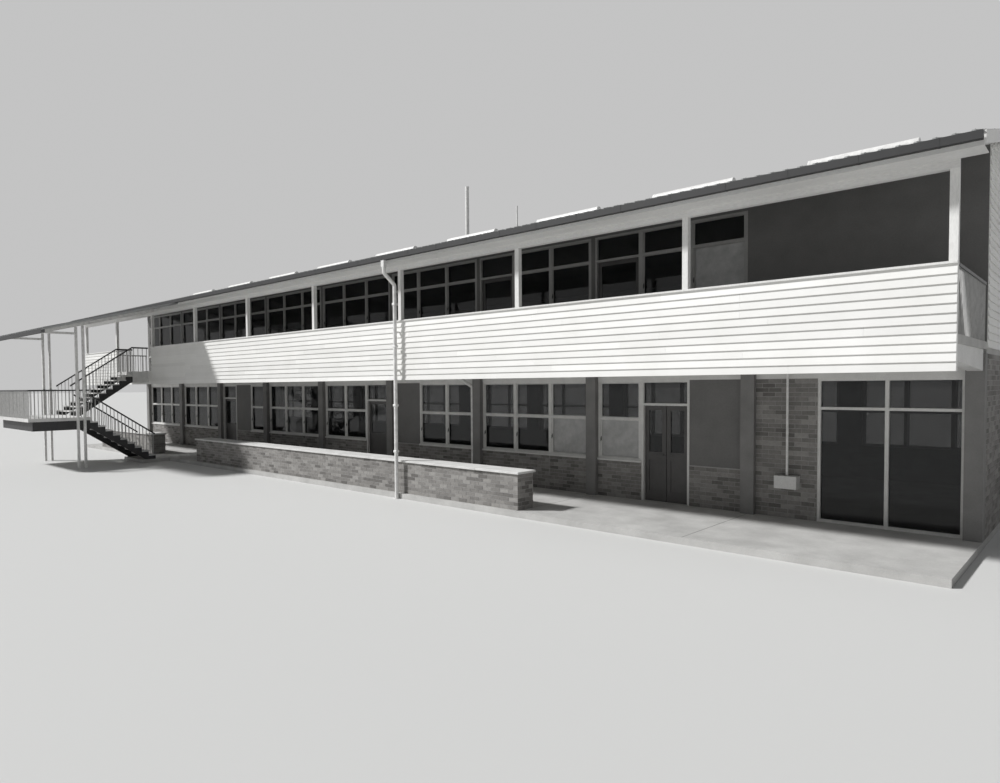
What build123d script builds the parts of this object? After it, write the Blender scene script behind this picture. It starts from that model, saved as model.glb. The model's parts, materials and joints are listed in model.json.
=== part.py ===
"""School building of two storeys with a front verandah and an outside dog-leg stair.

Millimetres, +Z up, +X along the front towards the right-hand end, +Y into the building.
The origin is at ground level on the verandah's front line, half way along the building.
"""
from build123d import *
from math import atan, cos, radians, tan
import os

os.makedirs("parts", exist_ok=True)

# Bays along the front
BAY = 3600
BAY_COUNT = 9
MODULES_PER_BAY = 3

# Heights of the two storeys
SLAB_TOP = 120
RISER = 160
RISERS_PER_FLIGHT = 10
UPPER_FLOOR_THICKNESS = 180
SILL_HEIGHT = 860
TRANSOM_HEIGHT = 1790
DOOR_HEAD_HEIGHT = 2100
WINDOW_HEAD_HEIGHT = 2650
UPPER_TRANSOM_HEIGHT = 2200
UPPER_HEAD_HEIGHT = 2750

# Depths from the verandah's front line
SLAB_FRONT = -100
WALL_FRONT = 2800
WALL_THICKNESS = 120
REAR_FACE = 10000
REAR_THICKNESS = 230
END_THICKNESS = 230

# Columns under the verandah floor
COLUMN_SIZE = 260
COLUMN_PROUD = 120

# Windows and doors
FRAME = 50
BAR = 60
BAR_DEPTH = 60
FRAME_DEPTH = 100
FRAME_SETBACK = 10
GLASS_THICKNESS = 8
REAR_PIER = 560
LEAF_THICKNESS = 45
LEAF_GAP = 8
HINGE_GAP = 5
MEETING_GAP = 12
LEAF_FOOT_GAP = 8
STILE = 95
LOCK_RAIL_HEIGHT = 900
LOCK_RAIL = 180
KICK_RAIL = 220
LEAF_PANEL = 20
HINGE_RADIUS = 10
HINGE_LENGTH = 100
HINGE_PLATE = 5
HINGE_PLATE_WIDTH = 40
HINGE_PLATE_INSET = 1
HINGE_INSET = 200
SEAT_GAP = 0.3
HANDLE_HEIGHT = 1020
HANDLE_REACH = 55
HANDLE_LENGTH = 120
HANDLE_RADIUS = 9

# Verandah
BAND_DROP = 369
BAND_THICKNESS = 90
CAP_THICKNESS = 30
CAP_HEIGHT = 938
CAP_OVERHANG = 40
CAP_WIDTH = 150
DECK_THICKNESS = 120
BEAM_WIDTH = 200
BEAM_DEPTH_AT_COLUMN = 340
BEAM_DEPTH_AT_TIP = 220
POST_SIZE = 100
EAVES_BEAM_DROP = 280
EAVES_BEAM_WIDTH = 100
OPEN_BAY_NUMBER = 1

# Roof
ROOF_PITCH = 14.7
EAVES_HEIGHT = 2410
EAVES_OUT = 450
RIDGE_Y = 4950
ROOF_THICKNESS = 50
RAFTER_DEPTH = 100
RAFTER_WIDTH = 60
RAFTERS_PER_BAY = 2
VERGE_OUT = 300
BARGE_THICKNESS = 25
BARGE_DEPTH = 170
FASCIA_THICKNESS = 20
FASCIA_DEPTH = 118
LINING_THICKNESS = 12
GUTTER_WIDTH = 100
GUTTER_DROP = 110
GUTTER_HEIGHT = 105
GUTTER_BACK = 45
GUTTER_WALL = 6
RIDGE_CAP_HALF = 220
RIDGE_CAP_THICKNESS = 12
VENTILATOR_LENGTH = 2000
VENTILATOR_RADIUS = 115
VENTILATOR_RISE = 145
VENTILATOR_THROAT = 120
VENTILATOR_OFFSET = -400

# Pipes
DOWNPIPE_RADIUS = 45
DOWNPIPE_Y = -150
DOWNPIPE_GRID_NUMBER = 6
DOWNPIPE_BEND = 70
NECK_FALL = 250
FRONT_NECK_DROP = 140
REAR_NECK_DROP = 170
COLUMN_NECK_DROP = 300
COLUMN_NECK_SHIFT = 120
COLUMN_NECK_Y = 2300
CLIP_WIDTH = 30
LOWER_CLIP_RISE = 200
UPPER_CLIP_DROP = 300
HEAD_HEIGHT = 150
FLUE_X = 2200
FLUE_Y = 5800
FLUE_RADIUS = 65
FLUE_TOP = 9230
VENT_X = 4310
VENT_RADIUS = 25
VENT_TOP = 8215
TROUGH_X = 13350
TROUGH_WIDTH = 400
TROUGH_DEPTH = 220
TROUGH_HEIGHT = 240
TROUGH_TOP = 940
TROUGH_WALL = 25

# Dog-leg stair
GOING = 240
NOSING = 20
TREAD_THICKNESS = 40
STRINGER_WIDTH = 60
STRINGER_DEPTH = 190
STAIR_RIGHT = -7400
FLIGHT_WIDTH = 1650
FLIGHT_GAP = 300
LANDING_FRONT = -4600
LANDING_THICKNESS = 110
LANDING_BEAM_DEPTH = 300
LANDING_BEAM_WIDTH = 120
TOP_LANDING_LENGTH = 600
TOP_LANDING_CHEEK_RISE = 60
RAIL_HEIGHT = 930
RAIL_SIZE = 45
RAIL_INSET = 10
BALUSTER = 18
BALUSTER_PITCH = 120
TOP_BALUSTER_START = 60
TOP_BALUSTER_PITCH = 160
STAIR_POST = 75
STAIR_POST_Y = (-3150, -2940)
STAIR_ROOF_RIGHT = -5700
STAIR_ROOF_LEFT = -11600
STAIR_ROOF_OUT = -4535
STAIR_ROOF_DROP = 120
STAIR_ROOF_THICKNESS = 45
STAIR_RAFTER_DEPTH = 100
STAIR_RAFTER_FOOT = 40
STAIR_RAFTER_HEAD = 10
STAIR_GUTTER_LAP = 20
STAIR_TIE_HEIGHT = 1240

# Low brick walls along the verandah's edge
PLANTER_WALL_THICKNESS = 500
PLANTER_WALL_TOP = 865
COPING_THICKNESS = 45
COPING_OVERHANG = 45
MAIN_PLANTER_X = (-5400, 9000)
LEFT_PLANTER_X = (-14500, -9150)

# What follows from the sizes above
HALF_LENGTH = BAY * BAY_COUNT / 2
GRID = [i * BAY - HALF_LENGTH for i in range(BAY_COUNT + 1)]
END_X = HALF_LENGTH + COLUMN_SIZE / 2
UPPER_FLOOR = SLAB_TOP + 2 * RISER * RISERS_PER_FLIGHT
FLOOR_UNDERSIDE = UPPER_FLOOR - UPPER_FLOOR_THICKNESS
DECK_UNDERSIDE = UPPER_FLOOR - DECK_THICKNESS
BAND_BOTTOM = DECK_UNDERSIDE - BAND_DROP
CAP_TOP = UPPER_FLOOR + CAP_HEIGHT
EAVES_TOP = UPPER_FLOOR + EAVES_HEIGHT
EAVES_BEAM_BOTTOM = EAVES_TOP - EAVES_BEAM_DROP
FASCIA_BOTTOM = EAVES_TOP - BARGE_DEPTH
GUTTER_BOTTOM = EAVES_TOP - GUTTER_DROP
STAIR_TIE_TOP = UPPER_FLOOR + STAIR_TIE_HEIGHT
WALL_BACK = WALL_FRONT + WALL_THICKNESS
REAR_INNER = REAR_FACE - REAR_THICKNESS
COLUMN_FRONT = WALL_FRONT - COLUMN_PROUD
COLUMN_BACK = COLUMN_FRONT + COLUMN_SIZE
SLOPE = tan(radians(ROOF_PITCH))
ROOF_DROP = ROOF_THICKNESS / cos(radians(ROOF_PITCH))
LANDING_TOP = SLAB_TOP + RISER * RISERS_PER_FLIGHT
FLIGHT_RUN = GOING * (RISERS_PER_FLIGHT - 1)
LANDING_BACK = -TOP_LANDING_LENGTH - FLIGHT_RUN
STAIR_SPLIT = STAIR_RIGHT - FLIGHT_WIDTH
UPPER_RIGHT = STAIR_SPLIT - FLIGHT_GAP
UPPER_LEFT = UPPER_RIGHT - FLIGHT_WIDTH
FRAME_FRONT = WALL_FRONT + FRAME_SETBACK

# Each bay's three modules from left to right: window, panel, door, brick or tall screen
GROUND_PLAN = ["WWW", "WWW", "DPW", "WWW", "WWD", "PWW", "WWW", "WDP", "BSS"]
UPPER_PLAN = ["WWW", "WWW", "WWW", "WWW", "WWW", "WWW", "DWW", "DWW", "PPP"]

# The leaves in each ground-floor bay that has a doorway; two names make a pair
DOOR_LEAVES = {2: ["door_3"], 4: ["door_2"], 7: ["door_1_left", "door_1_right"]}


def roof_top(y):
    """Height of the roof's top surface over a depth, the same on both slopes."""
    return EAVES_TOP + SLOPE * (RIDGE_Y + EAVES_OUT - abs(y - RIDGE_Y))


def roof_underside(y):
    return roof_top(y) - ROOF_DROP


def block(x0, x1, y0, y1, z0, z1):
    corner = (Align.MIN, Align.MIN, Align.MIN)
    return Pos(x0, y0, z0) * Box(x1 - x0, y1 - y0, z1 - z0, align=corner)


def prism_x(points, x0, x1):
    """A prism along X from its outline in (y, z)."""
    plane = Plane((x0, 0, 0), x_dir=(0, 1, 0), z_dir=(1, 0, 0))
    return extrude(plane * make_face(Polyline(*points, close=True)), x1 - x0)


def tube(points, radius, bend):
    """A round pipe along a route with rounded corners."""
    path = FilletPolyline(*points, radius=bend)
    section = Plane(path @ 0, z_dir=path % 0) * Circle(radius)
    return sweep(section, path=path)


def save(name, pieces):
    solids = []
    for piece in pieces:
        solids.extend(piece.solids())
    export_step(Compound(solids), f"parts/{name}.step")


def runs(plan):
    """Joins neighbouring modules of one kind: (bay, kind, first, last) for each run."""
    found = []
    for bay, kinds in enumerate(plan):
        first = 0
        for module in range(1, len(kinds) + 1):
            if module == len(kinds) or kinds[module] != kinds[first]:
                found.append((bay, kinds[first], first, module))
                first = module
    return found


def module_x(bay, module, margin):
    """The line between two modules, with a pier half as wide as margin at each grid line."""
    clear = BAY - 2 * margin
    return GRID[bay] + margin + clear * module / MODULES_PER_BAY


def window_frame(x0, x1, z0, z1, y, columns, bar_z):
    """A frame with upright bars between its lights and one bar across at each height in bar_z."""
    outer = block(x0, x1, y, y + FRAME_DEPTH, z0, z1)
    frame = outer - block(x0 + FRAME, x1 - FRAME, y, y + FRAME_DEPTH, z0 + FRAME, z1 - FRAME)
    pitch = (x1 - x0) / columns
    for column in range(1, columns):
        centre = x0 + pitch * column
        frame += block(centre - BAR / 2, centre + BAR / 2, y, y + BAR_DEPTH, z0, z1)
    for height in bar_z:
        frame += block(x0, x1, y, y + BAR_DEPTH, height - FRAME / 2, height + FRAME / 2)
    return frame


def window_glass(x0, x1, z0, z1, y):
    """One sheet behind the bars, inside the frame."""
    back = y + BAR_DEPTH
    return block(x0 + FRAME, x1 - FRAME, back, back + GLASS_THICKNESS, z0 + FRAME, z1 - FRAME)


def make_ground():
    foot_front = LANDING_BACK + FLIGHT_RUN - GOING * 2
    slab = block(-END_X, END_X, SLAB_FRONT, REAR_FACE, 0, SLAB_TOP)
    foot_pad = block(STAIR_SPLIT, STAIR_RIGHT, foot_front, SLAB_FRONT, 0, SLAB_TOP)
    save("ground_slab", [slab, foot_pad])
    half = COLUMN_SIZE / 2
    columns = []
    for x in GRID:
        columns.append(block(x - half, x + half, COLUMN_FRONT, COLUMN_BACK, SLAB_TOP, FLOOR_UNDERSIDE))
    save("columns", columns)


def make_ground_front():
    """The wall behind the verandah, bay by bay between the columns."""
    margin = COLUMN_SIZE / 2
    sill = SLAB_TOP + SILL_HEIGHT
    head = SLAB_TOP + WINDOW_HEAD_HEIGHT
    transom = SLAB_TOP + TRANSOM_HEIGHT
    door_head = SLAB_TOP + DOOR_HEAD_HEIGHT
    bricks, panels, frames, glass, heads = [], [], [], [], []
    for bay in range(BAY_COUNT):
        left = module_x(bay, 0, margin)
        right = module_x(bay, MODULES_PER_BAY, margin)
        heads.append(block(left, right, WALL_FRONT, WALL_BACK, head, FLOOR_UNDERSIDE))
    dado = {}
    for bay, kind, first, last in runs(GROUND_PLAN):
        x0 = module_x(bay, first, margin)
        x1 = module_x(bay, last, margin)
        lights = last - first
        if kind in "WP":
            dado.setdefault(bay, []).append(block(x0, x1, WALL_FRONT, WALL_BACK, SLAB_TOP, sill))
        if kind == "W":
            frames.append(window_frame(x0, x1, sill, head, FRAME_FRONT, lights, [transom]))
            glass.append(window_glass(x0, x1, sill, head, FRAME_FRONT))
        if kind == "P":
            panels.append(block(x0, x1, WALL_FRONT + FRAME_SETBACK, WALL_BACK, sill, head))
        if kind == "B":
            bricks.append(block(x0, x1, WALL_FRONT, WALL_BACK, SLAB_TOP, head))
        if kind == "S":
            frames.append(window_frame(x0, x1, SLAB_TOP, head, FRAME_FRONT, lights, [door_head]))
            glass.append(window_glass(x0, x1, SLAB_TOP, head, FRAME_FRONT))
    for pieces in dado.values():
        bricks.append(Part() + pieces)
    save("ground_front_brickwork", bricks)
    save("ground_front_panels", panels)
    save("ground_front_frames", frames)
    save("ground_front_glass", glass)
    save("ground_head_beams", heads)


def door_leaf(x0, x1, z0, z1, hinge_left):
    """A framed leaf with a glazed upper half, three hinges and a lever handle."""
    back = WALL_BACK
    front = back - LEAF_THICKNESS
    lock = z0 + LOCK_RAIL_HEIGHT
    leaf = block(x0, x1, front, back, z0, z1)
    leaf -= block(x0 + STILE, x1 - STILE, front, back, lock + LOCK_RAIL, z1 - STILE)
    recess = (LEAF_THICKNESS - LEAF_PANEL) / 2
    for y in (front, back - recess):
        leaf -= block(x0 + STILE, x1 - STILE, y, y + recess, z0 + KICK_RAIL, lock)
    side = 1 if hinge_left else -1
    edge = x0 if hinge_left else x1
    axis_x = edge - side * (HINGE_GAP + HINGE_PLATE_INSET)
    axis_y = back + SEAT_GAP + HINGE_RADIUS
    plate_start = edge + side * HINGE_PLATE_INSET
    plate_end = edge + side * HINGE_PLATE_WIDTH
    for height in (z0 + HINGE_INSET, (z0 + z1) / 2, z1 - HINGE_INSET - HINGE_LENGTH):
        barrel = Cylinder(HINGE_RADIUS, HINGE_LENGTH, align=(Align.CENTER, Align.CENTER, Align.MIN))
        leaf += Pos(axis_x, axis_y, height) * barrel
        low, high = sorted((plate_start, plate_end))
        leaf += block(low, high, back, back + HINGE_PLATE, height, height + HINGE_LENGTH)
    free = x1 if hinge_left else x0
    spindle_x = free - side * STILE / 2
    reach = LEAF_THICKNESS + 2 * HANDLE_REACH
    spindle = Rot(90, 0, 0) * Cylinder(HANDLE_RADIUS, reach)
    leaf += Pos(spindle_x, (front + back) / 2, z0 + HANDLE_HEIGHT) * spindle
    lever_end = spindle_x - side * HANDLE_LENGTH
    low, high = sorted((spindle_x, lever_end))
    for y in (front - HANDLE_REACH, back + HANDLE_REACH - 2 * HANDLE_RADIUS):
        z = z0 + HANDLE_HEIGHT - HANDLE_RADIUS
        leaf += block(low, high, y, y + 2 * HANDLE_RADIUS, z, z + 2 * HANDLE_RADIUS)
    glass_y = (front + back) / 2
    pane_back = glass_y + GLASS_THICKNESS
    pane = block(x0 + STILE, x1 - STILE, glass_y, pane_back, lock + LOCK_RAIL, z1 - STILE)
    return leaf, pane, (axis_x, axis_y, (z0 + z1) / 2)


def make_doors():
    """Door frames with a light over each door, and the leaves that open into the rooms."""
    margin = COLUMN_SIZE / 2
    head = SLAB_TOP + WINDOW_HEAD_HEIGHT
    door_head = SLAB_TOP + DOOR_HEAD_HEIGHT
    frames, lights = [], []
    for bay, kind, first, last in runs(GROUND_PLAN):
        if kind != "D":
            continue
        x0 = module_x(bay, first, margin)
        x1 = module_x(bay, last, margin)
        frame = block(x0, x0 + FRAME, WALL_FRONT, WALL_BACK, SLAB_TOP, head)
        frame += block(x1 - FRAME, x1, WALL_FRONT, WALL_BACK, SLAB_TOP, head)
        frame += block(x0, x1, WALL_FRONT, WALL_BACK, door_head, door_head + FRAME)
        frame += block(x0, x1, WALL_FRONT, WALL_BACK, head - FRAME, head)
        frames.append(frame)
        middle = (WALL_FRONT + WALL_BACK) / 2
        pane_back = middle + GLASS_THICKNESS
        lights.append(block(x0 + FRAME, x1 - FRAME, middle, pane_back, door_head + FRAME, head - FRAME))
        z0 = SLAB_TOP + LEAF_FOOT_GAP
        z1 = door_head - LEAF_GAP
        names = DOOR_LEAVES[bay]
        start = x0 + FRAME + HINGE_GAP
        leaves = [(names[0], start, x1 - FRAME - LEAF_GAP, True)]
        if len(names) == 2:
            centre = (x0 + x1) / 2
            leaves = [
                (names[0], start, centre - MEETING_GAP / 2, True),
                (names[1], centre + MEETING_GAP / 2, x1 - FRAME - HINGE_GAP, False),
            ]
        for name, left, right, hinge_left in leaves:
            leaf, pane, axis = door_leaf(left, right, z0, z1, hinge_left)
            save(f"{name}_leaf", [leaf])
            save(f"{name}_glass", [pane])
            print(name, "hinge axis", axis)
    save("ground_door_frames", frames)
    save("ground_door_lights", lights)


def rear_openings(sill, head):
    """The rear window openings of one storey, one a bay: (x0, x1, z0, z1)."""
    found = []
    for bay in range(BAY_COUNT):
        found.append((GRID[bay] + REAR_PIER / 2, GRID[bay + 1] - REAR_PIER / 2, sill, head))
    return found


def make_rear():
    """The rear wall repeats the storeys and the window modules of the front."""
    ground_sill = SLAB_TOP + SILL_HEIGHT
    ground_head = SLAB_TOP + WINDOW_HEAD_HEIGHT
    upper_sill = UPPER_FLOOR + SILL_HEIGHT
    upper_head = UPPER_FLOOR + UPPER_TRANSOM_HEIGHT
    ground_wall = block(-END_X, END_X, REAR_INNER, REAR_FACE, SLAB_TOP, FLOOR_UNDERSIDE)
    outline = [
        (REAR_INNER, UPPER_FLOOR),
        (REAR_FACE, UPPER_FLOOR),
        (REAR_FACE, roof_underside(REAR_FACE)),
        (REAR_INNER, roof_underside(REAR_INNER)),
    ]
    upper_wall = prism_x(outline, -END_X, END_X)
    frames, glass = [], []
    y = REAR_FACE - FRAME_SETBACK - FRAME_DEPTH
    for x0, x1, z0, z1 in rear_openings(ground_sill, ground_head):
        ground_wall -= block(x0, x1, REAR_INNER, REAR_FACE, z0, z1)
        frames.append(window_frame(x0, x1, z0, z1, y, MODULES_PER_BAY, [SLAB_TOP + TRANSOM_HEIGHT]))
        glass.append(window_glass(x0, x1, z0, z1, y))
    for x0, x1, z0, z1 in rear_openings(upper_sill, upper_head):
        upper_wall -= block(x0, x1, REAR_INNER, REAR_FACE, z0, z1)
        frames.append(window_frame(x0, x1, z0, z1, y, MODULES_PER_BAY, [(z0 + z1) / 2]))
        glass.append(window_glass(x0, x1, z0, z1, y))
    save("ground_rear_wall", [ground_wall])
    save("upper_rear_wall", [upper_wall])
    save("rear_frames", frames)
    save("rear_glass", glass)


def make_ends():
    """Plain end walls: brick below, and boarded gables above."""
    ground, upper = [], []
    for x0, x1 in ((-END_X, -END_X + END_THICKNESS), (END_X - END_THICKNESS, END_X)):
        ground.append(block(x0, x1, COLUMN_BACK, REAR_INNER, SLAB_TOP, FLOOR_UNDERSIDE))
        gable = [
            (WALL_BACK, UPPER_FLOOR),
            (REAR_INNER, UPPER_FLOOR),
            (REAR_INNER, roof_underside(REAR_INNER)),
            (RIDGE_Y, roof_underside(RIDGE_Y)),
            (WALL_BACK, roof_underside(WALL_BACK)),
        ]
        upper.append(prism_x(gable, x0, x1))
    save("ground_end_walls", ground)
    save("upper_end_walls", upper)


def make_upper_front():
    """The upper wall: sill wall, piers on the grid lines, and a header up to the roof."""
    margin = POST_SIZE / 2
    sill = UPPER_FLOOR + SILL_HEIGHT
    head = UPPER_FLOOR + UPPER_HEAD_HEIGHT
    transom = UPPER_FLOOR + UPPER_TRANSOM_HEIGHT
    outline = [
        (WALL_FRONT, UPPER_FLOOR),
        (WALL_BACK, UPPER_FLOOR),
        (WALL_BACK, roof_underside(WALL_BACK)),
        (WALL_FRONT, roof_underside(WALL_FRONT)),
    ]
    wall = prism_x(outline, -END_X, END_X)
    frames, glass, doors = [], [], []
    for bay, kind, first, last in runs(UPPER_PLAN):
        x0 = module_x(bay, first, margin)
        x1 = module_x(bay, last, margin)
        if kind == "W":
            wall -= block(x0, x1, WALL_FRONT, WALL_BACK, sill, head)
            frames.append(window_frame(x0, x1, sill, head, FRAME_FRONT, last - first, [transom]))
            glass.append(window_glass(x0, x1, sill, head, FRAME_FRONT))
        if kind == "D":
            wall -= block(x0, x1, WALL_FRONT, WALL_BACK, UPPER_FLOOR, head)
            frames.append(window_frame(x0, x1, UPPER_FLOOR, head, FRAME_FRONT, 1, [transom]))
            top = transom - FRAME / 2
            y = FRAME_FRONT + FRAME_DEPTH - LEAF_THICKNESS
            low = UPPER_FLOOR + FRAME
            door = block(x0 + FRAME, x1 - FRAME, y, y + LEAF_THICKNESS, low, top)
            lock = low + LOCK_RAIL_HEIGHT
            left = x0 + FRAME + STILE
            right = x1 - FRAME - STILE
            low = lock + LOCK_RAIL
            door -= block(left, right, y, y + LEAF_THICKNESS, low, top - STILE)
            doors.append(door)
            pane_y = y + GLASS_THICKNESS
            glass.append(block(left, right, pane_y, pane_y + GLASS_THICKNESS, low, top - STILE))
            over = FRAME_FRONT + BAR_DEPTH
            light_foot = transom + FRAME / 2
            over_back = over + GLASS_THICKNESS
            glass.append(block(x0 + FRAME, x1 - FRAME, over, over_back, light_foot, head - FRAME))
    save("upper_front_wall", [wall])
    save("upper_front_frames", frames)
    save("upper_front_glass", glass)
    save("upper_front_doors", doors)


def make_verandah():
    """Deck, cantilever beams, boarded band with its cap, posts and the eaves beam."""
    save("upper_floor", [block(-END_X, END_X, WALL_FRONT, REAR_FACE, FLOOR_UNDERSIDE, UPPER_FLOOR)])
    deck = block(-END_X, END_X, BAND_THICKNESS, WALL_FRONT, DECK_UNDERSIDE, UPPER_FLOOR)
    save("verandah_deck", [deck])
    outline = [
        (BAND_THICKNESS, DECK_UNDERSIDE),
        (COLUMN_FRONT, DECK_UNDERSIDE),
        (COLUMN_FRONT, DECK_UNDERSIDE - BEAM_DEPTH_AT_COLUMN),
        (BAND_THICKNESS, DECK_UNDERSIDE - BEAM_DEPTH_AT_TIP),
    ]
    beams = []
    for x in GRID:
        beams.append(prism_x(outline, x - BEAM_WIDTH / 2, x + BEAM_WIDTH / 2))
    save("verandah_beams", beams)
    cap_bottom = CAP_TOP - CAP_THICKNESS
    left_end = GRID[OPEN_BAY_NUMBER] + POST_SIZE / 2
    main_start = GRID[OPEN_BAY_NUMBER + 1] - POST_SIZE / 2
    spans = ((-END_X, left_end), (main_start, END_X))
    bands, caps = [], []
    for x0, x1 in spans:
        bands.append(block(x0, x1, 0, BAND_THICKNESS, BAND_BOTTOM, cap_bottom))
        caps.append(block(x0, x1, -CAP_OVERHANG, CAP_WIDTH - CAP_OVERHANG, cap_bottom, CAP_TOP))
    edge = block(left_end, main_start, 0, BAND_THICKNESS, BAND_BOTTOM, UPPER_FLOOR)
    save("verandah_bands", bands + [edge])
    save("verandah_caps", caps)
    half = POST_SIZE / 2
    posts = []
    for i, x in enumerate(GRID):
        centre = x
        if i == 0:
            centre = -END_X + half
        if i == BAY_COUNT:
            centre = END_X - half
        posts.append(block(centre - half, centre + half, 0, POST_SIZE, CAP_TOP, EAVES_BEAM_BOTTOM))
    save("verandah_posts", posts)


def rail_box(x0, x1, y0, y1, base):
    """A level railing along X or Y: a top rail on upright balusters that stand on base."""
    top = base + RAIL_HEIGHT
    rail = block(x0, x1, y0, y1, top - RAIL_SIZE, top)
    along_x = (x1 - x0) > (y1 - y0)
    length = max(x1 - x0, y1 - y0)
    count = max(2, round(length / BALUSTER_PITCH))
    inset = (RAIL_SIZE - BALUSTER) / 2
    pitch = (length - 2 * inset - BALUSTER) / count
    for i in range(count + 1):
        offset = inset + pitch * i
        x = x0 + (offset if along_x else inset)
        y = y0 + (inset if along_x else offset)
        rail += block(x, x + BALUSTER, y, y + BALUSTER, base, top - RAIL_SIZE / 2)
    return rail


def make_verandah_railings():
    """Railings at the verandah's ends and beside the head of the stair."""
    pieces = []
    back = COLUMN_FRONT
    for x in (-END_X, END_X - RAIL_SIZE):
        pieces.append(rail_box(x, x + RAIL_SIZE, CAP_WIDTH, back, UPPER_FLOOR))
    gap_left = GRID[OPEN_BAY_NUMBER] + POST_SIZE
    pieces.append(rail_box(gap_left, UPPER_LEFT, 0, RAIL_SIZE, UPPER_FLOOR))
    save("verandah_railings", pieces)


def make_roof():
    """Two slopes, with verandah rafters, eaves lining, gutters, barges and ridge ventilators."""
    x0 = -END_X - VERGE_OUT
    x1 = END_X + VERGE_OUT
    rear_eave = 2 * RIDGE_Y + EAVES_OUT
    for name, eave in (("roof_front", -EAVES_OUT), ("roof_rear", rear_eave)):
        outline = [
            (eave, roof_top(eave)),
            (RIDGE_Y, roof_top(RIDGE_Y)),
            (RIDGE_Y, roof_underside(RIDGE_Y)),
            (eave, roof_underside(eave)),
        ]
        save(name, [prism_x(outline, x0, x1)])
    rafter_drop = RAFTER_DEPTH / cos(radians(ROOF_PITCH))
    fascia_back = -EAVES_OUT + GUTTER_WIDTH / 2
    beam = [
        (0, EAVES_BEAM_BOTTOM),
        (EAVES_BEAM_WIDTH, EAVES_BEAM_BOTTOM),
        (EAVES_BEAM_WIDTH, roof_underside(EAVES_BEAM_WIDTH) - rafter_drop),
        (0, roof_underside(0) - rafter_drop),
    ]
    save("eaves_beam", [prism_x(beam, -END_X, END_X)])
    rafter = [
        (fascia_back, roof_underside(fascia_back) - rafter_drop),
        (WALL_FRONT, roof_underside(WALL_FRONT) - rafter_drop),
        (WALL_FRONT, roof_underside(WALL_FRONT)),
        (fascia_back, roof_underside(fascia_back)),
    ]
    rafters = []
    count = BAY_COUNT * RAFTERS_PER_BAY
    for i in range(count + 1):
        x = -END_X + (2 * END_X - RAFTER_WIDTH) * i / count
        rafters.append(prism_x(rafter, x, x + RAFTER_WIDTH))
    save("verandah_rafters", rafters)
    make_eaves(x0, x1, fascia_back)
    make_ridge()
    make_barges(x0, x1)


def mirror_y(y):
    return 2 * RIDGE_Y - y


def make_eaves(x0, x1, fascia_back):
    """Fascia, lining and gutter along the front, and the same at the rear."""
    fascia_front = fascia_back - FASCIA_THICKNESS
    fascia_top = FASCIA_BOTTOM + FASCIA_DEPTH
    lining_top = FASCIA_BOTTOM + LINING_THICKNESS
    front = [
        (fascia_front, FASCIA_BOTTOM),
        (0, FASCIA_BOTTOM),
        (0, lining_top),
        (fascia_back, lining_top),
        (fascia_back, fascia_top),
        (fascia_front, fascia_top),
    ]
    rear = [(mirror_y(y) if y else REAR_FACE, z) for y, z in front]
    save("eaves_linings", [prism_x(front, x0, x1), prism_x(rear, x0, x1)])
    outer = fascia_front - GUTTER_WIDTH
    top = GUTTER_BOTTOM + GUTTER_HEIGHT
    back_top = GUTTER_BOTTOM + GUTTER_BACK
    gutter = [
        (outer, top),
        (outer, GUTTER_BOTTOM),
        (fascia_front, GUTTER_BOTTOM),
        (fascia_front, back_top),
        (fascia_front - GUTTER_WALL, back_top),
        (fascia_front - GUTTER_WALL, GUTTER_BOTTOM + GUTTER_WALL),
        (outer + GUTTER_WALL, GUTTER_BOTTOM + GUTTER_WALL),
        (outer + GUTTER_WALL, top),
    ]
    rear_gutter = [(mirror_y(y), z) for y, z in gutter]
    save("gutters", [prism_x(gutter, x0, x1), prism_x(rear_gutter, x0, x1)])
    make_downpipes((outer + fascia_front) / 2)


def make_ridge():
    cap_drop = RIDGE_CAP_THICKNESS / cos(radians(ROOF_PITCH))
    low = RIDGE_Y - RIDGE_CAP_HALF
    high = RIDGE_Y + RIDGE_CAP_HALF
    cap = [
        (low, roof_top(low)),
        (RIDGE_Y, roof_top(RIDGE_Y)),
        (high, roof_top(high)),
        (high, roof_top(high) + cap_drop),
        (RIDGE_Y, roof_top(RIDGE_Y) + cap_drop),
        (low, roof_top(low) + cap_drop),
    ]
    save("ridge_cap", [prism_x(cap, -END_X - VERGE_OUT, END_X + VERGE_OUT)])
    axis_z = roof_top(RIDGE_Y) + VENTILATOR_RISE
    half = VENTILATOR_THROAT / 2
    throat = [
        (RIDGE_Y - half, roof_top(RIDGE_Y - half) + cap_drop),
        (RIDGE_Y, roof_top(RIDGE_Y) + cap_drop),
        (RIDGE_Y + half, roof_top(RIDGE_Y + half) + cap_drop),
        (RIDGE_Y + half, axis_z),
        (RIDGE_Y - half, axis_z),
    ]
    hoods = []
    for bay in range(BAY_COUNT):
        centre = (GRID[bay] + GRID[bay + 1]) / 2 + VENTILATOR_OFFSET
        x0 = centre - VENTILATOR_LENGTH / 2
        hood = Pos(centre, RIDGE_Y, axis_z) * Rot(0, 90, 0) * Cylinder(VENTILATOR_RADIUS, VENTILATOR_LENGTH)
        hoods.append(hood + prism_x(throat, x0, x0 + VENTILATOR_LENGTH))
    save("ridge_ventilators", hoods)


def make_barges(x0, x1):
    """Boards that close the roof's edges at both ends."""
    rear_eave = 2 * RIDGE_Y + EAVES_OUT
    outline = [
        (-EAVES_OUT, roof_top(-EAVES_OUT)),
        (RIDGE_Y, roof_top(RIDGE_Y)),
        (rear_eave, roof_top(rear_eave)),
        (rear_eave, roof_top(rear_eave) - BARGE_DEPTH),
        (RIDGE_Y, roof_top(RIDGE_Y) - BARGE_DEPTH),
        (-EAVES_OUT, roof_top(-EAVES_OUT) - BARGE_DEPTH),
    ]
    left = prism_x(outline, x0 - BARGE_THICKNESS, x0)
    right = prism_x(outline, x1, x1 + BARGE_THICKNESS)
    save("barge_boards", [left, right])


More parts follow.
